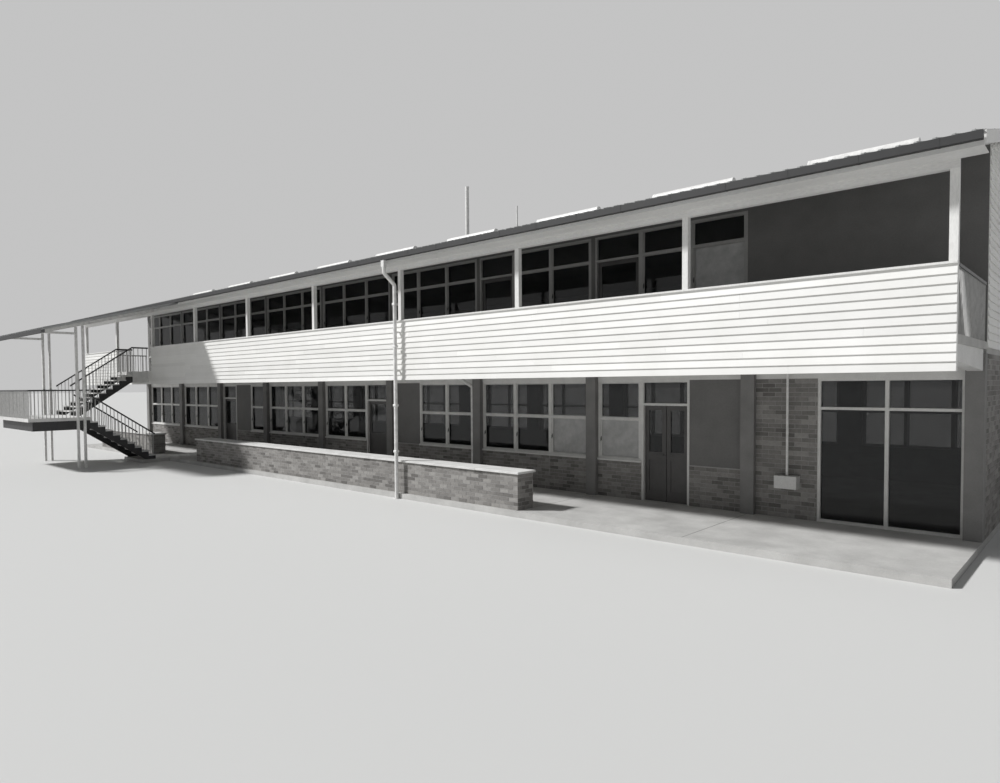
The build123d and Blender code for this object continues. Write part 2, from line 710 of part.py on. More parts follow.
def make_downpipes(gutter_y):
    """Downpipes with rainwater heads, and the pipe beside a column and over the trough."""
    x = GRID[DOWNPIPE_GRID_NUMBER]
    head_bottom = GUTTER_BOTTOM - HEAD_HEIGHT
    pipes = []
    half_head = GUTTER_WIDTH / 2
    front = gutter_y - half_head
    back = gutter_y + half_head
    head = block(x - half_head, x + half_head, front, back, head_bottom, GUTTER_BOTTOM)
    neck = head_bottom - FRONT_NECK_DROP
    route = [
        (x, gutter_y, head_bottom),
        (x, gutter_y, neck),
        (x, DOWNPIPE_Y, neck - NECK_FALL),
        (x, DOWNPIPE_Y, 0),
    ]
    pipe = head + tube(route, DOWNPIPE_RADIUS, DOWNPIPE_BEND)
    half = CLIP_WIDTH / 2
    for z in (BAND_BOTTOM + LOWER_CLIP_RISE, CAP_TOP - UPPER_CLIP_DROP):
        pipe += block(x - half, x + half, DOWNPIPE_Y, -SEAT_GAP, z, z + CLIP_WIDTH)
    pipes.append(pipe)
    rear_y = mirror_y(gutter_y)
    wall_y = REAR_FACE + DOWNPIPE_RADIUS + SEAT_GAP
    neck = GUTTER_BOTTOM - REAR_NECK_DROP
    for rear_x in (GRID[1], GRID[-2]):
        route = [
            (rear_x, rear_y, GUTTER_BOTTOM),
            (rear_x, rear_y, neck),
            (rear_x, wall_y, neck - NECK_FALL),
            (rear_x, wall_y, 0),
        ]
        pipes.append(tube(route, DOWNPIPE_RADIUS, DOWNPIPE_BEND))
    side = x - COLUMN_SIZE / 2 - DOWNPIPE_RADIUS - SEAT_GAP
    column_y = COLUMN_FRONT + DOWNPIPE_RADIUS
    neck = DECK_UNDERSIDE - COLUMN_NECK_DROP
    route = [
        (side - COLUMN_NECK_SHIFT, COLUMN_NECK_Y, DECK_UNDERSIDE),
        (side - COLUMN_NECK_SHIFT, COLUMN_NECK_Y, neck),
        (side, column_y, neck - NECK_FALL),
        (side, column_y, SLAB_TOP),
    ]
    pipes.append(tube(route, DOWNPIPE_RADIUS, DOWNPIPE_BEND))
    thin_height = DECK_UNDERSIDE - TROUGH_TOP + 2 * TROUGH_WALL
    thin_middle = DECK_UNDERSIDE - thin_height / 2
    thin_pipe = Cylinder(DOWNPIPE_RADIUS / 2, thin_height)
    pipes.append(Pos(TROUGH_X, WALL_FRONT - TROUGH_DEPTH / 2, thin_middle) * thin_pipe)
    save("downpipes", pipes)


def make_trough():
    """A shallow trough on the wall, open at the top, with the thin pipe running into it."""
    left = TROUGH_X - TROUGH_WIDTH / 2
    right = TROUGH_X + TROUGH_WIDTH / 2
    front = WALL_FRONT - TROUGH_DEPTH
    bottom = TROUGH_TOP - TROUGH_HEIGHT
    trough = block(left, right, front, WALL_FRONT, bottom, TROUGH_TOP)
    inner = TROUGH_WALL
    back = WALL_FRONT - inner
    trough -= block(left + inner, right - inner, front + inner, back, bottom + inner, TROUGH_TOP)
    save("wall_trough", [trough])


def make_roof_pipes():
    """A flue and a thin vent through the rear slope."""
    pipes = []
    for x, radius, top in ((FLUE_X, FLUE_RADIUS, FLUE_TOP), (VENT_X, VENT_RADIUS, VENT_TOP)):
        foot = roof_top(FLUE_Y) - ROOF_DROP / 2
        pipe = Pos(x, FLUE_Y, (foot + top) / 2) * Cylinder(radius, top - foot)
        outline = [
            (RIDGE_Y, roof_top(RIDGE_Y)),
            (REAR_FACE, roof_top(REAR_FACE)),
            (REAR_FACE, roof_underside(REAR_FACE)),
            (RIDGE_Y, roof_underside(RIDGE_Y)),
        ]
        pipes.append(pipe - prism_x(outline, x - 2 * radius, x + 2 * radius))
    save("roof_pipes", pipes)


def tread_places(rising):
    """(front y, top z) of each tread, from the half landing towards the building."""
    step = RISER if rising else -RISER
    return [(LANDING_BACK + GOING * i, LANDING_TOP + step * (i + 1)) for i in range(RISERS_PER_FLIGHT - 1)]


def cut_string(rising):
    """Outline of a saw-toothed stringer that carries the treads on its steps."""
    places = tread_places(rising)
    points = []
    for y, z in places:
        seat = z - TREAD_THICKNESS
        points.append((y, seat))
        points.append((y + GOING, seat))
    last_y = LANDING_BACK + FLIGHT_RUN
    if rising:
        points.append((last_y, places[-1][1] - TREAD_THICKNESS - STRINGER_DEPTH))
        points.append((LANDING_BACK, LANDING_TOP - TREAD_THICKNESS - STRINGER_DEPTH))
        return points
    foot_length = (places[0][1] - TREAD_THICKNESS - STRINGER_DEPTH - SLAB_TOP) * GOING / RISER
    points.append((last_y, SLAB_TOP))
    points.append((LANDING_BACK + foot_length, SLAB_TOP))
    points.append((LANDING_BACK, places[0][1] - TREAD_THICKNESS - STRINGER_DEPTH))
    return points


def flight_rail(x, rising):
    """A sloping handrail on two balusters a tread, level over the top landing."""
    step = RISER if rising else -RISER
    inset = (RAIL_SIZE - BALUSTER) / 2
    first_y, first_z = tread_places(rising)[0]
    slope = step / GOING
    start = (first_y, first_z + RAIL_HEIGHT)
    end_y = LANDING_BACK + FLIGHT_RUN
    end = (end_y, start[1] + slope * (end_y - first_y))
    drop = RAIL_SIZE / cos(atan(RISER / GOING))
    outline = [start, end, (end[0], end[1] - drop), (start[0], start[1] - drop)]
    rail = prism_x(outline, x, x + RAIL_SIZE)
    for y, z in tread_places(rising):
        for offset in (GOING / 4, GOING * 3 / 4):
            y0 = y + offset - BALUSTER / 2
            top = start[1] + slope * (y0 - first_y) - drop / 2
            rail += block(x + inset, x + inset + BALUSTER, y0, y0 + BALUSTER, z, top)
    if rising:
        level = UPPER_FLOOR + RAIL_HEIGHT
        rail += block(x, x + RAIL_SIZE, end_y, -SEAT_GAP, end[1] - drop, end[1])
        for i in range(round(TOP_LANDING_LENGTH / TOP_BALUSTER_PITCH)):
            y = end_y + TOP_BALUSTER_START + TOP_BALUSTER_PITCH * i
            rail += block(x + inset, x + inset + BALUSTER, y, y + BALUSTER, UPPER_FLOOR, level - drop / 2)
    return rail


def make_stair():
    """Two flights that turn at a half landing, each on a pair of cut strings."""
    flights = (("lower", STAIR_SPLIT, STAIR_RIGHT, False), ("upper", UPPER_LEFT, UPPER_RIGHT, True))
    stringers, treads = [], []
    for name, x0, x1, rising in flights:
        outline = cut_string(rising)
        stringers.append(prism_x(outline, x0, x0 + STRINGER_WIDTH))
        stringers.append(prism_x(outline, x1 - STRINGER_WIDTH, x1))
        for y, z in tread_places(rising):
            front = y - NOSING if rising and y > LANDING_BACK else y
            back = y + GOING + (0 if rising else NOSING)
            treads.append(block(x0, x1, front, min(back, LANDING_BACK + FLIGHT_RUN), z - TREAD_THICKNESS, z))
        right_rail = x1 - RAIL_SIZE - RAIL_INSET
        rails = [flight_rail(x0 + RAIL_INSET, rising), flight_rail(right_rail, rising)]
        save(f"stair_{name}_railings", rails)
    save("stair_stringers", stringers)
    save("stair_treads", treads)
    make_landings()
    make_stair_roof()


def make_landings():
    """The half landing on its beams, and the short deck at the head of the stair."""
    underside = LANDING_TOP - LANDING_THICKNESS
    landing = block(UPPER_LEFT, STAIR_RIGHT, LANDING_FRONT, LANDING_BACK, underside, LANDING_TOP)
    save("stair_landing", [landing])
    low = underside - LANDING_BEAM_DEPTH
    wide = LANDING_BEAM_WIDTH
    beams = block(UPPER_LEFT, UPPER_LEFT + wide, LANDING_FRONT + wide, LANDING_BACK, low, underside)
    beams += block(STAIR_RIGHT - wide, STAIR_RIGHT, LANDING_FRONT + wide, LANDING_BACK, low, underside)
    beams += block(UPPER_LEFT, STAIR_RIGHT, LANDING_BACK - wide, LANDING_BACK, low, underside)
    beams += block(UPPER_LEFT, STAIR_RIGHT, LANDING_FRONT + wide, LANDING_FRONT + 2 * wide, low, underside)
    save("stair_landing_beams", [beams])
    head_y = -TOP_LANDING_LENGTH
    cheek_foot = BAND_BOTTOM + TOP_LANDING_CHEEK_RISE
    deck = block(UPPER_LEFT, UPPER_RIGHT, head_y, 0, DECK_UNDERSIDE, UPPER_FLOOR)
    for x in (UPPER_LEFT, UPPER_RIGHT - STRINGER_WIDTH):
        deck += block(x, x + STRINGER_WIDTH, head_y, 0, cheek_foot, DECK_UNDERSIDE)
    save("stair_top_landing", [deck])
    left = UPPER_LEFT + RAIL_INSET
    right = STAIR_RIGHT - RAIL_INSET
    front = LANDING_FRONT + RAIL_INSET
    sides = [rail_box(left, right, front, front + RAIL_SIZE, LANDING_TOP)]
    start = front + RAIL_SIZE + SEAT_GAP
    for x in (left, right - RAIL_SIZE):
        sides.append(rail_box(x, x + RAIL_SIZE, start, LANDING_BACK - RAIL_INSET, LANDING_TOP))
    save("stair_landing_railings", sides)


def stair_roof_top(y):
    return roof_top(0) + SLOPE * y - STAIR_ROOF_DROP


def make_stair_roof():
    """The lean-to roof over the stair, on rafters carried by two pairs of slender posts."""
    start_y = -EAVES_OUT + GUTTER_WIDTH / 2 - FASCIA_THICKNESS
    drop = STAIR_ROOF_THICKNESS / cos(radians(ROOF_PITCH))
    outline = [
        (STAIR_ROOF_OUT, stair_roof_top(STAIR_ROOF_OUT)),
        (start_y, stair_roof_top(start_y)),
        (start_y, stair_roof_top(start_y) - drop),
        (STAIR_ROOF_OUT, stair_roof_top(STAIR_ROOF_OUT) - drop),
    ]
    save("stair_roof", [prism_x(outline, STAIR_ROOF_LEFT, STAIR_ROOF_RIGHT)])
    rafter_drop = drop + STAIR_RAFTER_DEPTH / cos(radians(ROOF_PITCH))
    lower_end = STAIR_ROOF_OUT + STAIR_RAFTER_FOOT
    upper_end = start_y - STAIR_RAFTER_HEAD
    rafter = [
        (lower_end, stair_roof_top(lower_end) - rafter_drop),
        (upper_end, stair_roof_top(upper_end) - rafter_drop),
        (upper_end, stair_roof_top(upper_end) - drop),
        (lower_end, stair_roof_top(lower_end) - drop),
    ]
    posts, rafters = [], []
    for x0 in (UPPER_LEFT - STAIR_POST, STAIR_RIGHT):
        x1 = x0 + STAIR_POST
        frame = prism_x(rafter, x0, x1)
        for y in STAIR_POST_Y:
            top = stair_roof_top(y - STAIR_POST / 2) - rafter_drop
            posts.append(block(x0, x1, y - STAIR_POST / 2, y + STAIR_POST / 2, 0, top))
        tie_foot = STAIR_TIE_TOP - STAIR_POST
        tie_out = (tie_foot + rafter_drop - stair_roof_top(0)) / SLOPE
        tie = block(x0, x1, tie_out, STAIR_POST_Y[0] - STAIR_POST / 2, tie_foot, STAIR_TIE_TOP)
        rafters.append(frame + tie)
    save("stair_posts", posts)
    save("stair_roof_frames", rafters)
    gutter_back = STAIR_ROOF_OUT + STAIR_GUTTER_LAP
    inner_back = gutter_back - GUTTER_WALL
    top = stair_roof_top(STAIR_ROOF_OUT) - drop
    gutter = [
        (gutter_back - GUTTER_WIDTH, top),
        (gutter_back - GUTTER_WIDTH, top - GUTTER_WIDTH),
        (gutter_back, top - GUTTER_WIDTH),
        (gutter_back, stair_roof_top(gutter_back) - drop),
        (inner_back, stair_roof_top(inner_back) - drop),
        (inner_back, top - GUTTER_WIDTH + GUTTER_WALL),
        (gutter_back - GUTTER_WIDTH + GUTTER_WALL, top - GUTTER_WIDTH + GUTTER_WALL),
        (gutter_back - GUTTER_WIDTH + GUTTER_WALL, top),
    ]
    save("stair_gutter", [prism_x(gutter, STAIR_ROOF_LEFT, STAIR_ROOF_RIGHT)])


def make_planters():
    """Low brick walls with wide copings along the verandah's edge."""
    walls, copings = [], []
    for x0, x1 in (MAIN_PLANTER_X, LEFT_PLANTER_X):
        walls.append(block(x0, x1, 0, PLANTER_WALL_THICKNESS, SLAB_TOP, PLANTER_WALL_TOP))
        copings.append(block(
            x0 - COPING_OVERHANG,
            x1 + COPING_OVERHANG,
            -COPING_OVERHANG,
            PLANTER_WALL_THICKNESS + COPING_OVERHANG,
            PLANTER_WALL_TOP,
            PLANTER_WALL_TOP + COPING_THICKNESS,
        ))
    save("planter_walls", walls)
    save("planter_copings", copings)


make_ground()
make_ground_front()
make_doors()
make_rear()
make_ends()
make_upper_front()
make_verandah()
make_verandah_railings()
make_roof()
make_roof_pipes()
make_trough()
make_stair()
make_planters()
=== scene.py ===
"""Looks of the two-storey school building: materials, boards, bricks, sashes and roof sheets, in metres."""
import json
import math
import random

import bpy
from mathutils import Matrix, Vector


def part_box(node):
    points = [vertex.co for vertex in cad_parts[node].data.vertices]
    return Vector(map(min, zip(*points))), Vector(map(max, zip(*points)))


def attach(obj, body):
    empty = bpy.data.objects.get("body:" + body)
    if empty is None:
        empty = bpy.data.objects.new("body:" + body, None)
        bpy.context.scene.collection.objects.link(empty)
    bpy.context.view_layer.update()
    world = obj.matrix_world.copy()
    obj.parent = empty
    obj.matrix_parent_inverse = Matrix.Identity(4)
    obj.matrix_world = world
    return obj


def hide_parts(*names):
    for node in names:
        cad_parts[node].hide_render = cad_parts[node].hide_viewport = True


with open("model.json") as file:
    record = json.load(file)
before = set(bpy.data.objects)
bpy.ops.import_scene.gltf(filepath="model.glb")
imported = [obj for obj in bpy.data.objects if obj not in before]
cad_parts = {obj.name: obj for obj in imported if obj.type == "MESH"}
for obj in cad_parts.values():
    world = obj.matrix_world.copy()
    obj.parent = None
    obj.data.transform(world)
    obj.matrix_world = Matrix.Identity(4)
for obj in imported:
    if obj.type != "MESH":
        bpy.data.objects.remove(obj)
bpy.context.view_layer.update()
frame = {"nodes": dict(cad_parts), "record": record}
BODY = "building"
RANDOM = random.Random(7)
MIX_COLOUR_A = 6
MIX_COLOUR_B = 7
MIX_COLOUR_RESULT = 2
BEVEL_SEGMENTS = 2

# Sizes shared with the solids
BAY = 3.6
BAY_COUNT = 9
MODULES = 3
HALF_LENGTH = BAY * BAY_COUNT / 2
GRID = [i * BAY - HALF_LENGTH for i in range(BAY_COUNT + 1)]
COLUMN = 0.26
POST = 0.1
FRAME_BAR = 0.05
WALL_FRONT = 2.8
GLASS_FRONT = 2.87
SLAB_TOP = 0.12
UPPER_FLOOR = 3.32
SILL = 0.86
TRANSOM = 1.79
HEAD = 2.65
UPPER_TRANSOM = 2.2
UPPER_HEAD = 2.75
REAR_FACE = 10.0
REAR_PIER = 0.56
RIDGE_Y = 4.95
SLOPE = math.tan(math.radians(14.7))
VENTILATOR_RADIUS = 0.115
DOWNPIPE_GRID_NUMBER = 6
DOWNPIPE_Y = -0.15
FLIGHT_DIVIDE = -9.15
BALUSTER = 0.018
BALUSTER_PITCH = 0.12
BALUSTER_SHARES = (0.25, 0.75)
TOP_BALUSTERS = 4
TOP_BALUSTER_START = 0.06
TOP_BALUSTER_PITCH = 0.16
RAIL_SIZE = 0.045
RAIL_HEIGHT = 0.93
RISER = 0.16
GOING = 0.24
TREADS = 9

# Bays from left to right: window, panel, door, brickwork, screen
GROUND_PLAN = ["WWW", "WWW", "DPW", "WWW", "WWD", "PWW", "WWW", "WDP", "BSS"]
UPPER_PLAN = ["WWW", "WWW", "WWW", "WWW", "WWW", "WWW", "DWW", "DWW", "PPP"]

# Boards
BOARD_COVER = 0.127
BOARD_THICK = 0.028
BOARD_THIN = 0.006
BOARD_GAP = 0.0015
BOARD_UNCUT = 4.8
BOARD_SHORTEST = 2.4
BOARD_LONGEST = 4.5
BOARD_SKIRT = 0.09
REAR_BOARDS_STOP = 0.075
GABLE_BOARDS_STOP = 0.1
GABLE_CLEARANCE = 0.12
WINDOW_TRIM = 0.07

# Bricks and copings
BRICK_LENGTH = 0.23
BRICK_HEIGHT = 0.076
JOINT = 0.01
BRICK_PROUD = 0.004
BRICK_WANDER = 0.0012
BRICK_OFFCUT = 0.015
COURSE_END = 0.02
DADO_STOP = 0.02
COPING_LENGTH = 1.2
COPING_GAP = 0.002
COPING_EDGE = 0.006

# Sashes, sills and panes
SASH = 0.03
SASH_RAIL = 0.012
SASH_DEPTH = 0.03
SASH_GAP = 0.004
SASH_SET_BACK = 0.022
MULLION_HALF = 0.03
SILL_PROUD = 0.035
SILL_LAP = 0.01
SILL_DROP = 0.03
SILL_RISE = 0.012
REAR_SILL_END = 0.03
REAR_SILL_PROUD = 0.045
REAR_SILL_DROP = 0.04
REAR_SILL_RISE = 0.004
PANE_EDGE = 0.06
PANE_TOP_EDGE = 0.04
PANE_FRONT = 0.012
PANE_BACK = 0.007

# Window catches
CATCH_INSET = 0.022
CATCH_PLATE_HALF = 0.009
CATCH_PLATE_DEPTH = 0.005
CATCH_PLATE_REACH = 0.045
CATCH_STEM_HALF = 0.006
CATCH_STEM_DEPTH = 0.022
CATCH_STEM_REACH = 0.012
CATCH_HANDLE_BACK = 0.018
CATCH_HANDLE_FRONT = 0.026
CATCH_HANDLE_DROP = 0.07

# Roof sheets and their screws
RIB_PITCH = 0.2
RIB_HEIGHT = 0.029
RIB_PROFILE = [(0.0, 0), (0.36, 0), (0.43, 1), (0.57, 1), (0.64, 0)]
SHEET_LIFT = 0.002
SHEET_BED = 0.001
SHEET_LAP = 0.15
LAP_LIFT = 0.003
EAVES_DRIP = 0.03
STAIR_DRIP = 0.02
RIDGE_GAP = 0.02
SCREW_HALF = 0.007
SCREW_HEAD = 0.007
SCREW_SHANK = 0.004
SCREW_ROW = 0.88
FIRST_SCREW_ROW = 0.12
SCREW_END = 0.02
RIDGE_CLEAR = 0.25

# Straps, bands, nosings and collars
STRAP_START = 0.4
STRAP_END = 0.3
STRAP_PITCH = 0.9
STRAP_WIDTH = 0.025
STRAP_THICK = 0.003
STRAP_DEPTH = 0.1
BAND_INSET = 0.03
BAND_HALF = 0.02
BAND_PROUD = 0.004
BAND_THICK = 0.006
BAND_STEPS = 24
NOSING_INSET = 0.02
NOSING_THICK = 0.004
NOSING_DROP = 0.04
NOSING_RISE = 0.002
COLLAR_PLACES = (1.1, 2.2, 3.6, 4.6)
COLLAR_HEIGHT = 0.06
COLLAR_REACH = 0.052
COLLAR_EDGE = 0.012

# Baluster paint and slab joints
SLEEVE = 0.001
SLAB_JOINT_HALF = 0.006
SLAB_JOINT_FRONT = -0.098
SLAB_JOINT_STOP = 0.12
SLAB_JOINT_DEPTH = 0.002
SLAB_JOINT_PROUD = 0.0008


def new_material(name, colour, roughness, metallic=0.0):
    """A material with its Principled shader, ready for more nodes."""
    material = bpy.data.materials.new(name)
    material.use_nodes = True
    nodes = material.node_tree.nodes
    shader = nodes["Principled BSDF"]
    shader.inputs["Base Color"].default_value = (*colour, 1)
    shader.inputs["Roughness"].default_value = roughness
    shader.inputs["Metallic"].default_value = metallic
    return material, nodes, material.node_tree.links, shader


def coordinates(nodes, links, scale=(1, 1, 1)):
    """Object coordinates in metres, stretched by scale."""
    source = nodes.new("ShaderNodeTexCoord")
    mapping = nodes.new("ShaderNodeMapping")
    mapping.inputs["Scale"].default_value = scale
    links.new(source.outputs["Object"], mapping.inputs["Vector"])
    return mapping.outputs["Vector"]


def noise(nodes, links, vector, scale, detail=6.0, roughness=0.6):
    texture = nodes.new("ShaderNodeTexNoise")
    texture.inputs["Scale"].default_value = scale
    texture.inputs["Detail"].default_value = detail
    texture.inputs["Roughness"].default_value = roughness
    links.new(vector, texture.inputs["Vector"])
    return texture.outputs["Fac"]


def ramp(nodes, links, value, stops):
    """Colours along a value: stops are (position, (r, g, b))."""
    node = nodes.new("ShaderNodeValToRGB")
    elements = node.color_ramp.elements
    while len(elements) < len(stops):
        elements.new(0.5)
    for element, (position, colour) in zip(elements, stops):
        element.position = position
        element.color = (*colour, 1)
    links.new(value, node.inputs["Fac"])
    return node.outputs["Color"]


def multiply(nodes, links, a, b):
    node = nodes.new("ShaderNodeMix")
    node.data_type = "RGBA"
    node.blend_type = "MULTIPLY"
    node.inputs["Factor"].default_value = 1.0
    links.new(a, node.inputs[MIX_COLOUR_A])
    links.new(b, node.inputs[MIX_COLOUR_B])
    return node.outputs[MIX_COLOUR_RESULT]


def bump(nodes, links, shader, height, strength, distance):
    node = nodes.new("ShaderNodeBump")
    node.inputs["Strength"].default_value = strength
    node.inputs["Distance"].default_value = distance
    links.new(height, node.inputs["Height"])
    links.new(node.outputs["Normal"], shader.inputs["Normal"])


def rough_from(nodes, links, shader, value, low, high):
    node = nodes.new("ShaderNodeMapRange")
    node.inputs["To Min"].default_value = low
    node.inputs["To Max"].default_value = high
    links.new(value, node.inputs["Value"])
    links.new(node.outputs["Result"], shader.inputs["Roughness"])


def shade(colour, factor):
    return tuple(channel * factor for channel in colour)


def mottled(name, colour, roughness, spread, scale, fine, depth, stretch=(1, 1, 1)):
    """Paint, render or concrete: broad stains, fine grain and a matching bump."""
    material, nodes, links, shader = new_material(name, colour, roughness)
    vector = coordinates(nodes, links, stretch)
    broad = noise(nodes, links, vector, scale)
    grain = noise(nodes, links, vector, fine, 3.0)
    stains = ramp(nodes, links, broad, [
        (0.3, shade(colour, 1 - spread)),
        (0.7, shade(colour, 1 + spread / 2)),
    ])
    speckle = ramp(nodes, links, grain, [(0.35, (0.9, 0.9, 0.9)), (0.6, (1, 1, 1))])
    links.new(multiply(nodes, links, stains, speckle), shader.inputs["Base Color"])
    rough_from(nodes, links, shader, broad, roughness - 0.08, roughness + 0.08)
    bump(nodes, links, shader, grain, 0.35, depth)
    return material


def weathered_boards(name, colour):
    """Gloss paint on timber: each board has its own tone, with grain and a little grime."""
    material, nodes, links, shader = new_material(name, colour, 0.42)
    vector = coordinates(nodes, links, (0.6, 0.6, 14))
    grain = noise(nodes, links, vector, 6.0, 8.0)
    grime = noise(nodes, links, coordinates(nodes, links), 1.3)
    island = nodes.new("ShaderNodeNewGeometry")
    tone = ramp(nodes, links, island.outputs["Random Per Island"], [
        (0.0, shade(colour, 0.93)),
        (1.0, shade(colour, 1.03)),
    ])
    dirt = ramp(nodes, links, grime, [(0.3, (0.93, 0.93, 0.92)), (0.65, (1, 1, 1))])
    links.new(multiply(nodes, links, tone, dirt), shader.inputs["Base Color"])
    rough_from(nodes, links, shader, grain, 0.34, 0.52)
    bump(nodes, links, shader, grain, 0.25, 0.0008)
    return material


def brick_clay():
    """Mixed grey face bricks, one tone for each brick, with pits and sandy grain."""
    material, nodes, links, shader = new_material("brick_clay", (0.2, 0.19, 0.18), 0.85)
    island = nodes.new("ShaderNodeNewGeometry")
    tone = ramp(nodes, links, island.outputs["Random Per Island"], [
        (0.0, (0.135, 0.129, 0.123)),
        (0.2, (0.21, 0.202, 0.194)),
        (0.7, (0.27, 0.26, 0.25)),
        (1.0, (0.34, 0.33, 0.318)),
    ])
    vector = coordinates(nodes, links)
    pits = noise(nodes, links, vector, 90.0, 5.0)
    cloud = noise(nodes, links, vector, 14.0)
    mottle = ramp(nodes, links, cloud, [(0.3, (0.78, 0.78, 0.78)), (0.7, (1.08, 1.07, 1.05))])
    links.new(multiply(nodes, links, tone, mottle), shader.inputs["Base Color"])
    bump(nodes, links, shader, pits, 0.5, 0.0012)
    return material


def sheet_glass(name, colour, alpha, roughness):
    """Thin window glass with slight ripples; its colour covers part of what lies behind, by its alpha."""
    material, nodes, links, shader = new_material(name, colour, roughness)
    shader.inputs["Alpha"].default_value = alpha
    shader.inputs["IOR"].default_value = 1.5
    ripple = noise(nodes, links, coordinates(nodes, links), 1.6, 2.0)
    bump(nodes, links, shader, ripple, 0.15, 0.004)
    grime = ramp(nodes, links, noise(nodes, links, coordinates(nodes, links), 5.0), [
        (0.35, shade(colour, 0.85)),
        (0.75, shade(colour, 1.25)),
    ])
    links.new(grime, shader.inputs["Base Color"])
    material.surface_render_method = "DITHERED"
    return material


def worn_metal(name, colour, roughness, metallic, rust=0.0):
    """Painted metal with chalky patches, and rust freckles where rust is more than nothing."""
    material, nodes, links, shader = new_material(name, colour, roughness, metallic)
    vector = coordinates(nodes, links)
    chalk = noise(nodes, links, vector, 9.0)
    freckle = noise(nodes, links, vector, 55.0, 8.0, 0.75)
    base = ramp(nodes, links, chalk, [(0.3, shade(colour, 0.82)), (0.7, shade(colour, 1.12))])
    tint = (1 - 0.35 * rust, 1 - 0.45 * rust, 1 - 0.5 * rust)
    marks = ramp(nodes, links, freckle, [(0.3, tint), (0.42, (1, 1, 1))])
    links.new(multiply(nodes, links, base, marks), shader.inputs["Base Color"])
    rough_from(nodes, links, shader, chalk, roughness - 0.1, roughness + 0.12)
    bump(nodes, links, shader, freckle, 0.2, 0.0004)
    return material


WHITE = (0.84, 0.835, 0.815)
TRIM = (0.8, 0.795, 0.775)
MATERIALS = {
    "concrete": mottled("concrete", (0.52, 0.515, 0.5), 0.85, 0.2, 1.6, 70.0, 0.0015),
    "brick": mottled("mortar", (0.4, 0.395, 0.385), 0.95, 0.2, 6.0, 120.0, 0.002),
    "column_paint": mottled("column_paint", (0.23, 0.226, 0.22), 0.75, 0.18, 2.2, 50.0, 0.001),
    "white_boards": weathered_boards("white_boards", WHITE),
    "white_trim": mottled("white_trim", TRIM, 0.45, 0.06, 3.0, 40.0, 0.0004, stretch=(1, 1, 0.3)),
    "frame_paint": mottled("frame_paint", (0.74, 0.735, 0.715), 0.5, 0.1, 4.0, 60.0, 0.0004),
    "door_paint": mottled("door_paint", (0.075, 0.072, 0.07), 0.4, 0.2, 3.0, 50.0, 0.0004),
    "panel_paint": mottled("panel_paint", (0.17, 0.167, 0.162), 0.65, 0.15, 1.8, 45.0, 0.0006),
    # Near-black and half opaque: painted shade for the dark rooms behind, laid over the rooms that show
    # through.
    "window_glass": sheet_glass("window_glass", (0.012, 0.013, 0.014), 0.55, 0.04),
    "roof_sheet": worn_metal("roof_sheet", (0.36, 0.365, 0.365), 0.5, 0.35, 0.35),
    "gutter_dark": worn_metal("gutter_dark", (0.028, 0.028, 0.029), 0.6, 0.0),
    "beam_grey": mottled("beam_grey", (0.72, 0.715, 0.7), 0.55, 0.1, 2.5, 50.0, 0.0004, stretch=(0.3, 1, 1)),
    "white_metal": worn_metal("white_metal", (0.78, 0.775, 0.76), 0.42, 0.0, 0.15),
    "stair_steel": worn_metal("stair_steel", (0.04, 0.04, 0.041), 0.5, 0.2, 0.5),
    "rail_steel": worn_metal("rail_steel", (0.05, 0.05, 0.051), 0.42, 0.2, 0.4),
    "tread_concrete": mottled("tread_concrete", (0.72, 0.715, 0.7), 0.8, 0.15, 5.0, 90.0, 0.0012),
    "coping": mottled("coping", (0.72, 0.715, 0.7), 0.8, 0.14, 2.6, 80.0, 0.0012),
    "trough_white": mottled("trough_white", (0.7, 0.695, 0.68), 0.25, 0.08, 6.0, 60.0, 0.0002),
}
CLAY = brick_clay()
# Obscured glass made pale and opaque: painted light for the daylight that comes through these panes from the
# rear windows.
OBSCURED_PAINTED_LIGHT = sheet_glass("obscured_glass_painted_light", (0.42, 0.42, 0.415), 1.0, 0.4)
# A darker copy of the frame paint: painted shade for the upper front frames and sashes under the verandah
# roof.
UPPER_FRAME_PAINTED_SHADE = mottled("upper_frame_painted_shade", (0.4, 0.397, 0.385), 0.5, 0.1, 4.0, 60.0, 0.0004)
BALUSTER_PAINT = worn_metal("baluster_paint", (0.5, 0.497, 0.487), 0.45, 0.0, 0.2)
JOINT_SEALANT = mottled("joint_sealant", (0.16, 0.158, 0.152), 0.9, 0.15, 3.0, 60.0, 0.0004)
SLOT_OF = {part["node"]: part["material_slot"] for part in frame["record"]["subparts"]}


def dress_frame():
    """Gives each node the material of its slot; the upper frames get a darker copy of the frame paint, which
    is painted shade.
    """
    for node, obj in frame["nodes"].items():
        material = UPPER_FRAME_PAINTED_SHADE if node == "upper_front_frames" else MATERIALS[SLOT_OF[node]]
        if not obj.material_slots:
            obj.data.materials.append(material)
        for place in obj.material_slots:
            place.material = material


